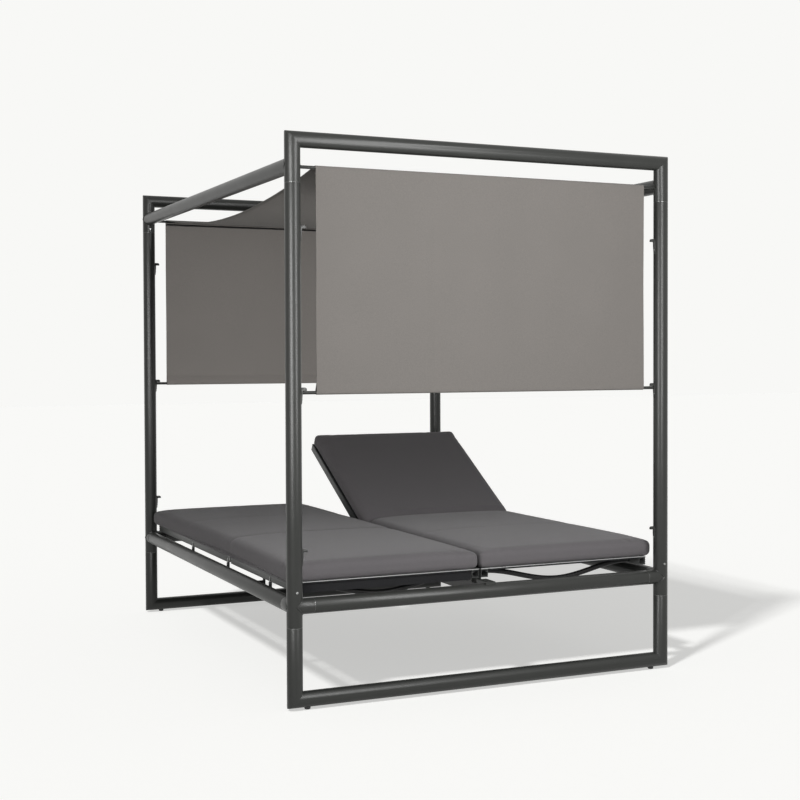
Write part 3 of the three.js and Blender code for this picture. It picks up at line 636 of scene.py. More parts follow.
class DAYBED_OT_rails(bpy.types.Operator):
    """Makes the bed rails, with what is welded to them, and the side top rails"""

    bl_idname = "daybed.rails"
    bl_label = "Rails"

    def execute(self, context):
        edge = sizes("frame").edge
        for end, sy in ENDS:
            rail = cross_bar(f"{end}_bed_tube", STUB_X, sy * POST_Y, BED_RAIL_Z, TUBE_RADIUS, edge, 48)
            frame_piece(rail, f"{end}_bed_rail")
        for side, sx in SIDES:
            rail = round_bar("rail", (sx * POST_X, -STUB_Y, BED_RAIL_Z), (sx * POST_X, STUB_Y, BED_RAIL_Z),
                             TUBE_RADIUS, edge, 48)
            frame_piece(joined(f"{side}_bed_tube", [rail, *self.carriers(sx)]), f"{side}_bed_rail")
            ends = [Vector((sx * POST_X, sy * POST_Y, SIDE_RAIL_Z)) for sy in (-1, 1)]
            top = [round_bar("top", *ends, TUBE_RADIUS, 0, 48)]
            top += [stub_bead(place, Vector((0, -sy, 0))) for place, sy in zip(ends, (-1, 1))]
            frame_piece(joined(f"{side}_top_tube", top), f"{side}_top_rail")
        return {"FINISHED"}

    def carriers(self, sx):
        """Saddles and the stay's outer bracket, sunk into the side rail that they are welded to."""
        sunk = BED_RAIL_Z + 12 * MM
        height = RAIL_BOTTOM - 0.3 * MM - sunk
        saddle_x = OUTER_RAIL_X + RAIL_WIDTH - 1 * MM
        pieces = [block("saddle", (saddle_x, y, sunk + height / 2), (12 * MM, 6 * MM, height), 1.2 * MM)
                  for y in SADDLES]
        # The bracket: an upright plate with the stay's bearing, on a foot
        plate_x, foot_low, foot_height = OUTER_RAIL_X - 8 * MM, BED_RAIL_Z - 15 * MM, 27 * MM
        half = 12 * MM
        outline = [(-half, foot_low - PIVOT.z), (half, foot_low - PIVOT.z), *arc((0, 0), 10 * MM, 0, 180, 12)]
        pieces.append(plate("bracket", [outline, hole(6.3 * MM)], 4 * MM, 0.5 * MM, ALONG,
                            (plate_x, PIVOT.y, PIVOT.z)))
        pieces.append(block("foot", ((plate_x + POST_X) / 2, PIVOT.y, foot_low + foot_height / 2),
                            (POST_X - plate_x, 2 * half, foot_height), 1.2 * MM))
        if sx < 0:
            for piece in pieces:
                piece.data.transform(TURNED)
        return pieces


class DAYBED_OT_hooks(bpy.types.Operator):
    """Makes the hooks that hold the hem bars, and the screws of the hooks and of the frame"""

    bl_idname = "daybed.hooks"
    bl_label = "Hooks"

    def execute(self, context):
        own = sizes("frame")
        outline = [
            (-1.5 * MM, 18 * MM), *arc((13 * MM, 11 * MM), 7 * MM, 90, 0, 8), (20 * MM, 6.6 * MM),
            (7 * MM, 6.6 * MM), *arc((7 * MM, 4.1 * MM), 2.5 * MM, 90, 180, 4), (4.5 * MM, -8 * MM),
            (2 * MM, -38 * MM), (0.5 * MM, -40 * MM), (-1.5 * MM, -40 * MM),
        ]
        for corner, sx, sy in CORNERS:
            inwards = TURNED if sx > 0 else Matrix.Identity(4)
            for level, rise in (("low", -1), ("middle", 0), ("high", 1)):
                z = BAR_Z + rise * own.hook_spacing
                hook = plate(f"{corner}_{level}_hook", [outline], own.hook_width, 1.2 * MM, inwards @ ACROSS,
                             (sx * INNER_X, sy * POST_Y, z))
                frame_piece(hook)
                self.screw(f"{corner}_{level}_hook_screw", (sx * (INNER_X - 3 * MM), sy * POST_Y, z - 24 * MM),
                           (-sx, 0, 0), 3 * MM)
        for corner, sx, sy in CORNERS:
            for part, out, z in (("bed", sy, BED_RAIL_Z + own.low_screw), ("top", -sy, HIGH_JOINT_Z + own.high_screw)):
                self.screw(f"{corner}_{part}_screw", (sx * POST_X, sy * POST_Y + out * TUBE_RADIUS, z), (0, out, 0),
                           own.screw)
        return {"FINISHED"}

    def screw(self, name, place, out, radius):
        """A button-head socket screw on a face that looks out."""
        place, out = Vector(place), Vector(out)
        height = radius * 0.55
        head = round_bar(name, place, place + out * height, radius, 0.0, 24)
        bevel(head, radius * 0.3, 4)
        bpy.ops.object.mode_set(mode="EDIT")
        tip = place.dot(out) + height
        pick("FACE", lambda face: face.normal.dot(out) > 0.99 and face.calc_center_median().dot(out) > tip - 0.1 * MM)
        bpy.ops.mesh.inset(thickness=radius * 0.2, use_even_offset=True)
        bpy.ops.mesh.extrude_region_move(TRANSFORM_OT_translate={"value": -out * radius * 0.35})
        bpy.ops.object.mode_set(mode="OBJECT")
        dress(head, "frame", "pin_steel")


class DAYBED_OT_glides(bpy.types.Operator):
    """Makes the black glides under the floor rails"""

    bl_idname = "daybed.glides"
    bl_label = "Glides"

    def execute(self, context):
        for corner, _, _ in CORNERS:
            low, high = node_box(f"{corner}_glide")
            middle = (low + high) / 2
            nub = round_bar(f"{corner}_glide_nub", (middle.x, middle.y, low.z), (middle.x, middle.y, high.z),
                            (high.x - low.x) / 2, 0.0, 32)
            bpy.ops.object.mode_set(mode="EDIT")
            pick("VERT", lambda vert: vert.co.z < low.z + 0.1 * MM)
            bpy.ops.mesh.bevel(offset=4 * MM, segments=5, profile=0.5, affect="EDGES")
            bpy.ops.object.mode_set(mode="OBJECT")
            dress(nub, "frame", "glide_plastic", nodes=[f"{corner}_glide"])
        return {"FINISHED"}


class DAYBED_OT_rods(bpy.types.Operator):
    """Makes the canopy rods, each with a black strip along it that paints the shadow line where the cloth meets the
    rod, and the hem bars
    """

    bl_idname = "daybed.rods"
    bl_label = "Rods and bars"

    def execute(self, context):
        for end, sy in ENDS:
            rod = cross_bar(f"{end}_rod", ROD_X, sy * POST_Y, ROD_Z, ROD_RADIUS, 0.8 * MM, 28)
            frame_piece(rod, f"{end}_canopy_rod")
            # Black plastic, though its slot is the frame's coat: painted shade for the shadow line where the cloth
            # meets the rod
            painted_shade_welt = cross_bar(f"{end}_welt", CLOTH_X, sy * (POST_Y + 2 * MM), ROD_Z - 15 * MM, sizes("frame").painted_shade_welt,
                             1 * MM, 20)
            dress(painted_shade_welt, "frame", "canopy_frame_coat", "glide_plastic")
            bar = cross_bar(f"{end}_bar", BAR_X, sy * POST_Y, BAR_Z, ROD_RADIUS, 1.5 * MM, 28)
            dress(bar, f"{end}_bar", "canopy_frame_coat", nodes=[f"{end}_hem_bar"])
        return {"FINISHED"}


# The canopy cloth


def grid_sheet(name, columns, rows, thickness, place):
    """A sheet made from a grid whose points a function of two shares from 0 to 1 puts in place."""
    obj = primitive("grid", name, x_subdivisions=columns, y_subdivisions=rows, size=1, location=(0, 0, 0))
    reshape(obj, lambda x, y, z: place(x + 0.5, y + 0.5))
    apply_modifier(obj, "SOLIDIFY", thickness=thickness, offset=0.0)
    return obj


def smooth_step(part):
    part = max(0.0, min(1.0, part))
    return part * part * (3 - 2 * part)


def bell(distance, width):
    return math.exp(-(distance / width) ** 2)


def line_length(line):
    return sum(math.dist(a, b) for a, b in zip(line, line[1:]))


def walk(line, part):
    """The point at a share of the length of a line of (y, z) points."""
    left = part * line_length(line)
    for a, b in zip(line, line[1:]):
        step = math.dist(a, b)
        if left <= step or (a, b) == (line[-2], line[-1]):
            part = min(left / step, 1.0)
            return a[0] + (b[0] - a[0]) * part, a[1] + (b[1] - a[1]) * part
        left -= step
    return line[-1]


def cloth_reach():
    """From a rod's axis to the middle of the cloth laid over it."""
    return ROD_RADIUS + sizes("cloth").thickness / 2 + 0.5 * MM


class DAYBED_OT_roof(bpy.types.Operator):
    """Makes the roof cloth that sags between the two rods"""

    bl_idname = "daybed.roof"
    bl_label = "Roof cloth"

    def execute(self, context):
        own = sizes("cloth")
        top = ROD_Z + cloth_reach()
        sag = top - (ROOF_LOW_Z + own.thickness)

        def place(u, v):
            edge = 1 - (2 * u - 1) ** 8
            z = top - sag * (1 - (2 * v - 1) ** 2) * (0.985 + 0.015 * edge)
            ripple = 1.2 * MM * math.sin(math.pi * v) ** 2 * math.sin(9 * math.pi * u + 2 * math.sin(3 * math.pi * v))
            return (2 * u - 1) * CLOTH_X, (2 * v - 1) * POST_Y, z + ripple

        roof = grid_sheet("roof_cloth", 90, 120, own.thickness, place)
        dress(roof, "frame", "canopy_fabric", nodes=["canopy_roof"])
        hems = []
        for side in (-1, 1):
            def seam(u, v, side=side):
                x, y, z = place((1 + side) / 2, v)
                return x - side * own.side_hem * u, y, z - own.thickness

            hems.append(grid_sheet("roof_hem", 3, 120, own.thickness * 0.8, seam))
        dress(joined("roof_side_hems", hems), "frame", "canopy_fabric")
        return {"FINISHED"}


class DAYBED_OT_curtains(bpy.types.Operator):
    """Makes the two hanging ends of the cloth, each with a pocket round its hem bar"""

    bl_idname = "daybed.curtains"
    bl_label = "Curtains"

    def execute(self, context):
        for end, sy in ENDS:
            self.curtain(end, sy)
        return {"FINISHED"}

    def curtain(self, end, sy):
        own = sizes("cloth")
        reach = cloth_reach()
        seam = BAR_Z + own.hem
        over = [(math.radians(90 + 15 * i), ROD_Z) for i in range(7)]
        under = [(math.radians(-15 * i), BAR_Z) for i in range(13)]
        line = [(sy * (POST_Y + reach * math.cos(a)), z + reach * math.sin(a)) for a, z in under]
        line = [(sy * (POST_Y - reach * math.cos(a)), z + reach * math.sin(a)) for a, z in over] + line
        line += [(sy * (POST_Y - reach * 0.6), BAR_Z + reach * 1.6), (sy * (POST_Y + reach * 0.75), seam)]
        # The pressed line: its place across the cloth and its width, as shares of the cloth's width
        line_place, line_width = 0.3355, 0.005

        def place(u, v):
            y, z = walk(line, v)
            hang = max(0.0, min(1.0, (ROD_Z - z) / (ROD_Z - BAR_Z)))
            fold = math.sin(math.pi * hang) ** 1.5 if z > seam else 0.0
            wave = math.sin(5.5 * math.pi * u + 0.8 * math.sin(2 * math.pi * hang))
            wave += 0.5 * math.sin(11 * math.pi * u + 2.1 + 1.5 * hang)
            pressed = bell(u - line_place, line_width) * smooth_step(4 * hang - 0.4)
            return (2 * u - 1) * CLOTH_X, y + sy * (own.wave * 0.5 * fold * wave - own.fold_line * pressed), z

        cloth = grid_sheet(f"{end}_curtain_cloth", 200, 140, own.thickness, place)
        dress(cloth, None, "canopy_fabric", "curtain_fabric", [f"{end}_curtain"])
        line_length(line)
        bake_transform(cloth)


# The loungers


def rail_profile():
    """The section of a rail, with grooves on both sides and a round channel for the sling's cord."""
    own = sizes("lounger")
    half = RAIL_WIDTH / 2
    depth, wide = 1.2 * MM, own.groove / 2
    outline = []
    for way in (1, -1):
        outline.append((way * half, -way * half))
        for rise in (-9 * MM, 0.0, 9 * MM):
            low, high = way * rise - way * wide, way * rise + way * wide
            outline += [(way * half, low), (way * (half - depth), low), (way * (half - depth), high),
                        (way * half, high)]
        outline.append((way * half, way * half))
    inner = half - own.rail_wall
    corner = 9.5 * MM
    hollow = [(-inner, -inner), (inner, -inner), (inner, inner - corner), (inner - corner, inner), (-inner, inner)]
    return [outline, hollow, hole(3 * MM, (half - 6.2 * MM, half - 6.2 * MM))]


def rail_piece(x, start, end):
    """A rail along Y from its plugged hinge end to its free end."""
    way = 1 if end > start else -1
    middle = x + RAIL_WIDTH / 2
    body = plate("rail", rail_profile(), abs(end - start), 0.5 * MM, ACROSS, (middle, (start + end) / 2, HINGE.z))
    plug = block("plug", (middle, start + way * 7 * MM, HINGE.z),
                 (RAIL_WIDTH - 4.9 * MM, 14 * MM, RAIL_WIDTH - 2.6 * MM), 0.6 * MM)
    return [body, plug]


def knuckle(x, thickness, radius, way):
    """A plate from an x on, with a round end at the hinge axis, reaching into its rail."""
    reach = 31 * MM
    outline = [(way * reach, -radius), *arc((0, 0), radius, -90, -90 - way * 180, 16), (way * reach, radius)]
    return plate("knuckle", [outline, hole(4.4 * MM)], thickness, 0.6 * MM, ALONG,
                 (x + thickness / 2, HINGE.y, HINGE.z))


def rack_strip(x, thickness):
    """The notched strip that the stay's bar rides under, with a notch for each of the back's angles."""
    reach = 2 * (PIVOT.y - HINGE.y)
    start, end, bottom, height = 250 * MM, 660 * MM, 6.3 * MM, 7.5 * MM
    outline = [(start, bottom + height), (start, bottom)]
    for degrees in (65, 54, 42, 29, 15, 0):
        place = reach * math.cos(math.radians(degrees))
        outline += [(place + along * MM, bottom + depth * MM)
                    for along, depth in ((-6, 0), (-4.5, 3.5), (-1, 5), (2.5, 3.5), (3, 0))]
    outline += [(end, bottom), (end, bottom + height)]
    return plate("strip", [outline], thickness, 0.4 * MM, ALONG, (x + thickness / 2, HINGE.y, HINGE.z))


class DAYBED_OT_lounger_rails(bpy.types.Operator):
    """Makes the rails of both loungers, with their hinge plates, pins, notched strips and cords"""

    bl_idname = "daybed.lounger_rails"
    bl_label = "Lounger rails"

    def execute(self, context):
        setback = 17 * MM
        cheek, tongue, strip = 5 * MM, 10 * MM, 5 * MM
        for side, turn, angle in LOUNGERS:
            back_turn = turn @ turned_about(HINGE, angle)
            for part, x in (("inner", INNER_RAIL_X), ("outer", OUTER_RAIL_X)):
                far = x + RAIL_WIDTH
                seat = rail_piece(x, HINGE.y - setback, -FREE_END)
                seat += [knuckle(x, cheek, 12 * MM, -1), knuckle(far - cheek, cheek, 12 * MM, -1)]
                dress(joined(f"{side}_seat_{part}_profile", seat), "frame", "lounger_frame_coat",
                      nodes=[f"{side}_seat_{part}_rail"], move=turn)
                back = rail_piece(x, HINGE.y + setback, FREE_END)
                back += [knuckle(x + (RAIL_WIDTH - tongue) / 2, tongue, 10 * MM, 1),
                         rack_strip(far - MM if part == "inner" else x + MM - strip, strip)]
                dress(joined(f"{side}_back_{part}_profile", back), f"{side}_back", "lounger_frame_coat",
                      nodes=[f"{side}_back_{part}_rail"], move=back_turn)
                pin = round_bar(f"{side}_{part}_pin", (x - 1.7 * MM, HINGE.y, HINGE.z),
                                (far + 1.7 * MM, HINGE.y, HINGE.z), 4 * MM, 1.2 * MM, 28)
                dress(pin, "frame", "pin_steel", nodes=[f"{side}_{part}_hinge_pin"], move=turn)
                for half, way, body, move in (("seat", -1, "frame", turn), ("back", 1, f"{side}_back", back_turn)):
                    # The end of the cord that holds the sling in the rail's channel
                    cord_x, cord_z = far - 6.2 * MM, HINGE.z + RAIL_WIDTH / 2 - 6.2 * MM
                    cord = round_bar(f"{side}_{half}_{part}_cord", (cord_x, way * (FREE_END - 1.5 * MM), cord_z),
                                     (cord_x, way * (FREE_END - 60 * MM), cord_z), 2.6 * MM, 0.8 * MM, 20)
                    dress(cord, body, "sling_fabric", move=move)
        return {"FINISHED"}


class DAYBED_OT_cross_tubes(bpy.types.Operator):
    """Makes the bowed tubes between the rails"""

    bl_idname = "daybed.cross_tubes"
    bl_label = "Cross tubes"

    def execute(self, context):
        own = sizes("lounger")
        low, high = INNER_RAIL_X + RAIL_WIDTH + 0.3 * MM, OUTER_RAIL_X - 0.3 * MM
        straight, steps = 12 * MM, 40
        top = HINGE.z - 3 * MM
        for side, turn, angle in LOUNGERS:
            for part, count, body, move in (
                ("seat", 3, "frame", turn), ("back", 2, f"{side}_back", turn @ turned_about(HINGE, angle)),
            ):
                for number in range(1, count + 1):
                    node = f"{side}_{part}_cross_tube_{number}"
                    # Its place on a flat right lounger, from the flat left one
                    y = -sum(corner.y for corner in node_box(f"left_{part}_cross_tube_{number}")) / 2
                    points = [(low, y, top)]
                    for i in range(steps + 1):
                        drop = own.bow_drop * (1 - math.cos(math.tau * i / steps)) / 2
                        points.append((low + straight + (high - low - 2 * straight) * i / steps, y, top - drop))
                    points.append((high, y, top))
                    tube = curve_mesh(f"{node}_bow", [points], False, dimensions="3D", bevel_depth=own.bow_radius,
                                      bevel_resolution=6, use_fill_caps=True)
                    # The bows take a near-black coat that paints the shade under the mattresses
                    dress(tube, body, "lounger_frame_coat", "bow_coat", [node], move)
        return {"FINISHED"}


class DAYBED_OT_stays(bpy.types.Operator):
    """Makes the U-shaped props of the backs"""

    bl_idname = "daybed.stays"
    bl_label = "Stays"

    def execute(self, context):
        low, high = INNER_RAIL_X + RAIL_WIDTH, OUTER_RAIL_X
        inset = sizes("lounger").leg_inset
        shaft_y, bar_y, z = PIVOT.y, 2 * PIVOT.y - HINGE.y, PIVOT.z
        for side, turn, angle in LOUNGERS:
            bars = [round_bar("bar", (low + gap, y, z), (high - gap, y, z), 6 * MM, 1 * MM, 28)
                    for y, gap in ((shaft_y, 4.6 * MM), (bar_y, MM))]
            for x in (low + inset, high - inset):
                bars.append(round_bar("leg", (x, shaft_y, z), (x, bar_y, z), 7 * MM, 0, 28))
                bars += [round_bar("collar", (x - 9 * MM, y, z), (x + 9 * MM, y, z), 6.9 * MM, 0.8 * MM, 28)
                         for y in (shaft_y, bar_y)]
            dress(joined(f"{side}_prop", bars), f"{side}_stay", "lounger_frame_coat", nodes=[f"{side}_stay"],
                  move=turn @ turned_about(PIVOT, 2 * angle))
        return {"FINISHED"}


class DAYBED_OT_slings(bpy.types.Operator):
    """Makes the slings laid over the rails under the mattresses, with their end rods and flaps"""

    bl_idname = "daybed.slings"
    bl_label = "Slings"

    def execute(self, context):
        own = sizes("lounger")
        low, high = INNER_RAIL_X + 5 * MM, OUTER_RAIL_X + RAIL_WIDTH - 5 * MM
        thick, roll, setback = 1.6 * MM, 4 * MM, 17 * MM
        level = SLING_TOP - thick / 2
        end = FREE_END - 2 * MM
        for side, turn, angle in LOUNGERS:
            for part, way, body, move in (
                ("seat", 1, "frame", turn), ("back", -1, f"{side}_back", turn @ turned_about(HINGE, angle)),
            ):
                # From under the rolled free end to the hinge
                angles = [math.radians(220 - 220 * i / 12) for i in range(13)]
                line = [(way * (roll - end - roll * math.sin(a)), level - roll + roll * math.cos(a)) for a in angles]
                line.append((HINGE.y - way * setback, level))

                def place(u, v, line=line):
                    return low + (high - low) * u, *walk(line, v)

                sheet = grid_sheet(f"{side}_{part}_sling_cloth", 20, 160, thick, place)
                dress(sheet, body, "sling_fabric", nodes=[f"{side}_{part}_sling"], move=move)
                rod_y = -way * (end + 1.6 * MM)
                rod = round_bar(f"{side}_{part}_hem_rod", (INNER_RAIL_X, rod_y, SLING_TOP),
                                (OUTER_RAIL_X + RAIL_WIDTH, rod_y, SLING_TOP), own.hem_rod, 0.5 * MM, 20)
                # The rod takes a light coat that paints the highlight along the sling's end
                dress(rod, body, "lounger_frame_coat", "hem_rod_coat", move=move)
                line_length(line)
            self.flap(side, move, level)
        return {"FINISHED"}

    def flap(self, side, move, level):
        """The hem that hangs from the sling at a back's free end."""
        own = sizes("lounger")
        low, high = INNER_RAIL_X + RAIL_WIDTH + 1 * MM, OUTER_RAIL_X - 1 * MM

        def place(u, v):
            wave = 1.5 * MM * v * math.sin(7 * math.pi * u)
            return low + (high - low) * u, FREE_END - 8 * MM + wave, level - 2 * MM - own.flap * v

        flap = grid_sheet(f"{side}_sling_flap", 80, 8, 1.4 * MM, place)
        dress(flap, f"{side}_back", "sling_fabric", move=move)


# The mattresses


class DAYBED_OT_mattresses(bpy.types.Operator):
    """Makes one swollen mattress and folds a copy of it for each lounger"""

    bl_idname = "daybed.mattresses"
    bl_label = "Mattresses"

    def execute(self, context):
        flat = self.flat_mattress()
        for side, turn, angle in LOUNGERS:
            piece = bpy.data.objects.new(f"{side}_mattress", flat.data.copy())
            piece.data.name = piece.name
            bpy.context.collection.objects.link(piece)
            self.fold(piece, angle)
            dress(piece, None, "mattress_fabric", move=turn,
                  nodes=[f"{side}_seat_cushion", f"{side}_cushion_fold", f"{side}_back_cushion"])
            smooth(piece, math.radians(60))
            sizes("mattress").fill
            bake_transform(piece)
        bpy.data.objects.remove(flat)
        return {"FINISHED"}

    def flat_mattress(self):
        """A boxed cushion with a lip over its outer rail, swollen as a stuffed cover and sewn across."""
        own = sizes("mattress")
        span = MATTRESS_X[0], MATTRESS_X[1] + own.overhang
        low_z = MATTRESS_Z[0]
        length_y = 2 * FREE_END + 3 * MM
        lip_x = OUTER_RAIL_X + RAIL_WIDTH + 0.8 * MM
        box = block("mattress", (sum(span) / 2, 0, low_z + own.edge / 2), (span[1] - span[0], length_y, own.edge),
                    own.rounding, 5)
        lip = block("lip", (lip_x + own.lip / 2, 0, low_z + 10 * MM),
                    (own.lip, length_y - 8 * MM, 20 * MM + 2 * own.droop), 3 * MM, 3)
        obj = joined("mattress", [box, lip])
        apply_modifier(obj, "REMESH", mode="VOXEL", voxel_size=own.voxel)
        self.swell(obj)
        self.crown(obj, span, lip_x)
        apply_modifier(obj, "SUBSURF", levels=1, render_levels=1)
        self.sew(obj)
        return obj

    def swell(self, obj):
        """Blows the cover up with cloth, no point further than the cap, and keeps a share of it."""
        own = sizes("mattress")
        start = [vert.co.copy() for vert in obj.data.vertices]
        make_active(obj)
        cloth = obj.modifiers.new("Cloth", "CLOTH")
        cloth.settings.use_pressure = True
        cloth.settings.uniform_pressure_force = 4.0
        cloth.settings.effector_weights.gravity = 0.0
        cloth.settings.quality = 4
        scene = bpy.context.scene
        for number in range(1, 21):
            scene.frame_set(number)
        bpy.ops.object.modifier_apply(modifier=cloth.name)
        for vert, before in zip(obj.data.vertices, start):
            move = vert.co - before
            if move.length > own.swell:
                move = move.normalized() * own.swell
            vert.co = before + move * own.swell_share
        scene.frame_set(1)

    def crown(self, obj, span, lip_x):
        """Crowns the top, draws the long sides in a little and keeps the cover off its sling and rail."""
        own = sizes("mattress")
        low_z, high_z = MATTRESS_Z
        middle, half = sum(span) / 2, (span[1] - span[0]) / 2
        inner_gap, draw = 0.3 * MM, 2 * MM

        def place(x, y, z):
            across, along = (x - middle) / half, y / FREE_END
            height = max(0.0, (z - low_z) / own.edge)
            z += (high_z - low_z - own.edge) * max(0.0, 1 - across ** 4) * max(0.0, 1 - along ** 10) * height
            if z < low_z and x > lip_x - 3 * MM:
                x = max(x, lip_x)
            elif z < low_z:
                z = low_z
            if x < middle:
                x = max(x + draw * math.cos(math.pi * along / 2) * height, inner_gap)
            elif z > low_z:
                # The overhang is full at the seat's free end, a quarter at the hinge, 70 % at the back's free end
                seat, back = (HINGE.y - y) / (HINGE.y + FREE_END), (y - HINGE.y) / (FREE_END - HINGE.y)
                wide = 0.25 + (0.75 * smooth_step(seat) if seat > 0 else 0.45 * smooth_step(back))
                x -= own.overhang * (1 - wide) * across
            return x, y, z

        reshape(obj, place)

    def sew(self, obj):
        """Draws in the sewn line across the seat and the soft puckers beside it."""
        own = sizes("mattress")
        low_z, high_z = MATTRESS_Z

        def place(x, y, z):
            top = smooth_step((z - low_z) / (high_z - low_z) * 1.6 - 0.4)
            near, wide = bell(y - own.seam_place, 7 * MM), bell(y - own.seam_place, 38 * MM)
            pucker = 0.5 * MM * math.sin(x * math.tau / (41 * MM)) * wide
            return x, y, z - top * (own.seam * (near + wide) / 2 + pucker)

        reshape(obj, place)

    def fold(self, obj, angle):
        """Bends the flat mattress about the hinge, its foam pressed together at the crease."""
        own = sizes("mattress")
        # Half the wedge that bends, and the crease's share in a flat mattress
        half, flat_share = math.radians(33), 0.55
        middle = sum(MATTRESS_X) / 2
        side_pull = 4 * MM / (MATTRESS_X[1] - middle)
        depth = own.crease * (flat_share if angle == 0 else 1.0)

        def place(x, y, z):
            dy, dz = y - HINGE.y, z - HINGE.z
            spread, reach = math.atan2(dy, dz), math.hypot(dy, dz)
            up = smooth_step((z - MATTRESS_Z[0]) / (40 * MM))
            near, wide = bell(dy, 10 * MM), bell(dy, 34 * MM)
            reach -= up * depth * (near + wide) / 2
            if spread >= half:
                spread -= angle
            elif spread > -half:
                spread = -half + (spread + half) * (2 * half - angle) / (2 * half)
            x = middle + (x - middle) * (1 - side_pull * wide * up)
            return x, HINGE.y + reach * math.sin(spread), HINGE.z + reach * math.cos(spread)

        reshape(obj, place)


class DAYBED_OT_bearers(bpy.types.Operator):
    """Makes the clips over the saddles and finishes the centre beam"""

    bl_idname = "daybed.bearers"
    bl_label = "Centre beam and clips"

    def execute(self, context):
        outline = [(x * MM, y * MM) for x, y in ((-4, 0), (4, 0), (4, 26), (2.4, 29), (-2.4, 29), (-4, 26))]
        for side, turn, _ in LOUNGERS:
            for number, y in enumerate(SADDLES, 1):
                clip = plate(f"{side}_clip_{number}", [outline], 1.6 * MM, 0.4 * MM, ALONG,
                             (OUTER_RAIL_X + RAIL_WIDTH + 1.3 * MM, y, HINGE.z - 26 * MM))
                # The clips take the light coat that paints their highlight
                dress(clip, "frame", "lounger_frame_coat", "hem_rod_coat", move=turn)
        beam = frame["nodes"]["central_beam"]
        beam.data.materials.clear()
        beam.data.materials.append(finish_for("canopy_frame_coat"))
        return {"FINISHED"}


# The stage


def seen_mix(material, unseen, seen):
    """One shader for the light that a surface gives, another for what the camera and reflections see."""
    path = add_node(material, "LightPath")
    looked_at = path.outputs["Is Camera Ray"]
    for ray in ("Is Glossy Ray", "Is Transmission Ray"):
        looked_at = add_node(material, "Math", {"operation": "MAXIMUM"}, {0: looked_at, 1: path.outputs[ray]})
    return add_node(material, "MixShader", links={0: looked_at, 1: unseen, 2: seen})


def link_lamp(light, pieces, state):
    """Keeps a lamp to some pieces alone, or off them."""
    receivers = bpy.data.collections.new(light.name + "_receivers")
    for piece in pieces:
        receivers.objects.link(piece)
    for linked in receivers.collection_objects:
        linked.light_linking.link_state = state
    light.light_linking.receiver_collection = receivers


def add_lamp(name, kind, place, towards):
    """A lamp at a place that shines along a direction."""
    clear_selection()
    bpy.ops.object.light_add(type=kind, location=place)
    light = bpy.context.object
    light.name = name
    light.rotation_euler = towards.to_track_quat("-Z", "Y").to_euler()
    return light


def soft_sun(name, azimuth, elevation, level, spread):
    """A distant soft lamp; its level is what it adds to a white surface that faces it."""
    out = Vector((math.cos(azimuth) * math.cos(elevation), math.sin(azimuth) * math.cos(elevation),
                  math.sin(elevation)))
    light = add_lamp(name, "SUN", out * 6, -out)
    light.data.energy = level * math.pi
    light.data.angle = spread
    return light


def soft_box(name, place, aim, width, height, brightness):
    """A tall soft box of a brightness, where white is 1."""
    light = add_lamp(name, "AREA", place, Vector(aim) - Vector(place))
    light.data.shape = "RECTANGLE"
    light.data.size = width
    light.data.size_y = height
    light.data.energy = brightness * math.pi * width * height
    light.visible_camera = False
    return light


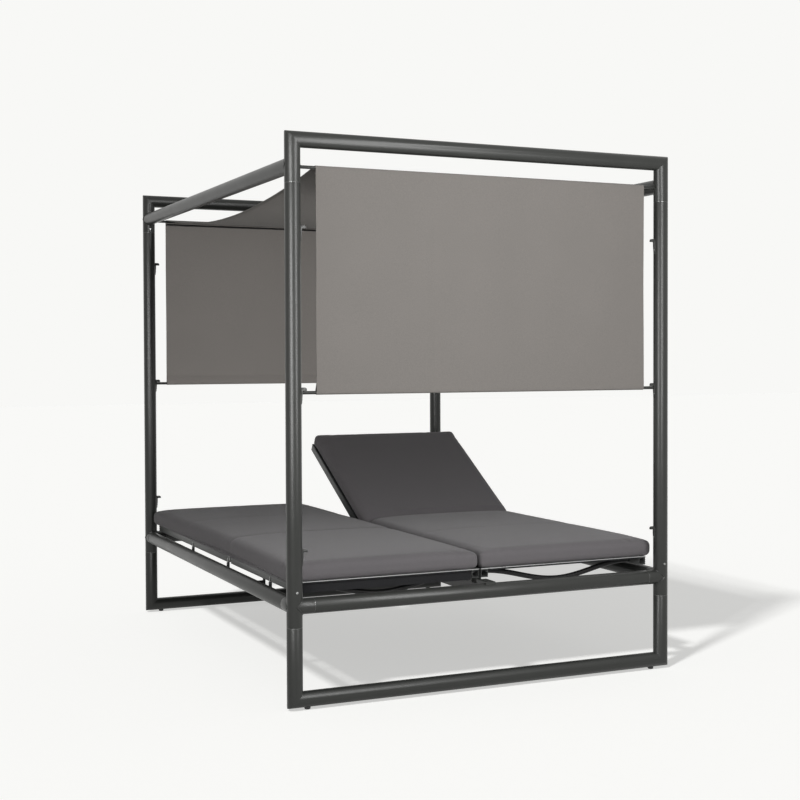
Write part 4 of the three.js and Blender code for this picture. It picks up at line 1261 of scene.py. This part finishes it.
class DAYBED_OT_stage(bpy.types.Operator):
    """Makes the floor, the background, the lights and the camera"""

    bl_idname = "daybed.stage"
    bl_label = "Stage"

    def execute(self, context):
        floor = self.floor()
        self.world()
        key = soft_sun("key", math.radians(-146.6), math.radians(46), 0.7, math.radians(5))
        link_lamp(key, [floor], "INCLUDE")
        curtain, roof, far_post, *tops = (bpy.data.objects[name] for name in (
            "back_curtain_cloth", "roof_cloth", "back_left_post_tube", "left_top_tube", "right_top_tube",
        ))
        # Place, aim, width, height, brightness, the light that a box gives none of, and its linked pieces
        for name, place, aim, width, height, brightness, unlit, pieces, state in (
            ("left_wash", (-4.0, -1.7, 1.3), (0, -0.4, 1.1), 0.8, 1.8, 7.0, "glossy", [floor], "EXCLUDE"),
            ("right_wash", (0.0, -3.9, 1.95), (0, -0.4, 1.1), 1.2, 2.4, 10.0, "glossy", [floor], "EXCLUDE"),
            ("curtain_fill", (-0.1, -0.7, 1.2), (-0.1, 1.0, 1.62), 1.1, 0.5, 9.5, "glossy", [curtain], "INCLUDE"),
            ("roof_fill", (-0.1, -0.7, 1.2), (-0.1, 1.0, 1.62), 1.1, 0.5, 1.5, "glossy", [roof], "INCLUDE"),
            ("left_band", (-1.83, -2.2, 1.5), (-0.3, -1.0, 1.5), 0.8, 1.8, 15.0, "diffuse", tops, "EXCLUDE"),
            ("right_band", (0.33, -2.9, 1.95), (-0.3, -1.0, 1.95), 0.6, 2.4, 15.0, "diffuse", tops, "EXCLUDE"),
            ("far_band", (-2.81, -1.18, 1.6), (-0.76, 1.0, 1.6), 0.4, 1.4, 26.0, "diffuse", [far_post], "INCLUDE"),
        ):
            lamp = soft_box(name, place, aim, width, height, brightness)
            setattr(lamp, "visible_" + unlit, False)
            link_lamp(lamp, pieces, state)
        self.camera()
        bpy.context.scene.view_settings.view_transform = "Standard"
        return {"FINISHED"}

    def floor(self):
        floor = primitive("plane", "floor", size=60, location=(0, 0, 0))
        material, _ = new_material("daybed_studio_floor")
        paper = linear(sizes("colours").floor)
        # What the floor gives to the object, and what is seen of it: half lit, half glowing, so its shadows stay soft
        given = add_node(material, "BsdfDiffuse", links={"Color": linear("#a4a4a2")})
        lit = add_node(material, "BsdfDiffuse", links={"Color": [1.56 * c for c in paper[:3]] + [1.0]})
        plain = add_node(material, "Emission", links={"Color": paper, "Strength": 1.0})
        seen = add_node(material, "MixShader", links={0: 0.57, 1: lit, 2: plain})
        floor.data.materials.append(finish_material(material, seen_mix(material, given, seen)))
        return floor

    def world(self):
        world = bpy.data.worlds.new("daybed_studio")
        bpy.context.scene.world = world
        world.use_nodes = True
        world.node_tree.nodes.clear()
        light = add_node(world, "Background", links={"Color": linear("#ffffff"), "Strength": 0.15})
        plain = add_node(world, "Background", links={"Color": linear(sizes("colours").floor), "Strength": 1.0})
        add_node(world, "OutputWorld", links={"Surface": seen_mix(world, light, plain)})

    def camera(self):
        """The photo's camera: its place and turns, then its picture size, focal length and shift in pixels."""
        clear_selection()
        place = Vector((-2.3467, -5.4344, 1.2212))
        yaw, pitch, roll = 0.4287, -0.0224, -0.0033
        image, focus, shift_x, shift_y = 800, 1358.4, -7.7, -12.2
        bpy.ops.object.camera_add(location=place)
        camera = bpy.context.object
        camera.name = "photo_camera"
        camera.matrix_world = (Matrix.Translation(place) @ Matrix.Rotation(-yaw, 4, "Z")
                               @ Matrix.Rotation(math.pi / 2 + pitch, 4, "X") @ Matrix.Rotation(roll, 4, "Z"))
        camera.data.sensor_width = 36
        camera.data.lens = focus * camera.data.sensor_width / image
        camera.data.shift_x = shift_x / image
        camera.data.shift_y = shift_y / image
        camera.data.clip_end = 200
        bpy.context.scene.camera = camera


class DAYBED_PT_panel(bpy.types.Panel):
    """Lists the steps that build the daybed"""

    bl_idname = "DAYBED_PT_panel"
    bl_label = "Daybed"
    bl_space_type = "VIEW_3D"
    bl_region_type = "UI"
    bl_category = "Daybed"

    def draw(self, context):
        column = self.layout.column()
        for operator in OPERATORS:
            column.operator(operator.bl_idname)
        for group in GROUPS:
            own = getattr(context.scene, group)
            box = column.box()
            for key in own.__annotations__:
                box.prop(own, key)


OPERATORS = (
    DAYBED_OT_portals, DAYBED_OT_posts, DAYBED_OT_rails, DAYBED_OT_hooks, DAYBED_OT_glides, DAYBED_OT_rods,
    DAYBED_OT_roof, DAYBED_OT_curtains, DAYBED_OT_lounger_rails, DAYBED_OT_cross_tubes, DAYBED_OT_stays,
    DAYBED_OT_slings, DAYBED_OT_mattresses, DAYBED_OT_bearers, DAYBED_OT_stage,
)
GROUPS = {
    "daybed_frame": FrameSizes, "daybed_cloth": ClothSizes, "daybed_lounger": LoungerSizes,
    "daybed_mattress": MattressSizes, "daybed_colours": FinishColours,
}


def register():
    for group, kind in GROUPS.items():
        bpy.utils.register_class(kind)
        setattr(bpy.types.Scene, group, bpy.props.PointerProperty(type=kind))
    for operator in OPERATORS:
        bpy.utils.register_class(operator)
    bpy.utils.register_class(DAYBED_PT_panel)


def unregister():
    bpy.utils.unregister_class(DAYBED_PT_panel)
    for operator in reversed(OPERATORS):
        bpy.utils.unregister_class(operator)
    for group, kind in GROUPS.items():
        delattr(bpy.types.Scene, group)
        bpy.utils.unregister_class(kind)


def main():
    register()
    for operator in OPERATORS:
        family, step = operator.bl_idname.split(".")
        getattr(getattr(bpy.ops, family), step)()
    clear_selection()


if __name__ == "__main__":
    main()
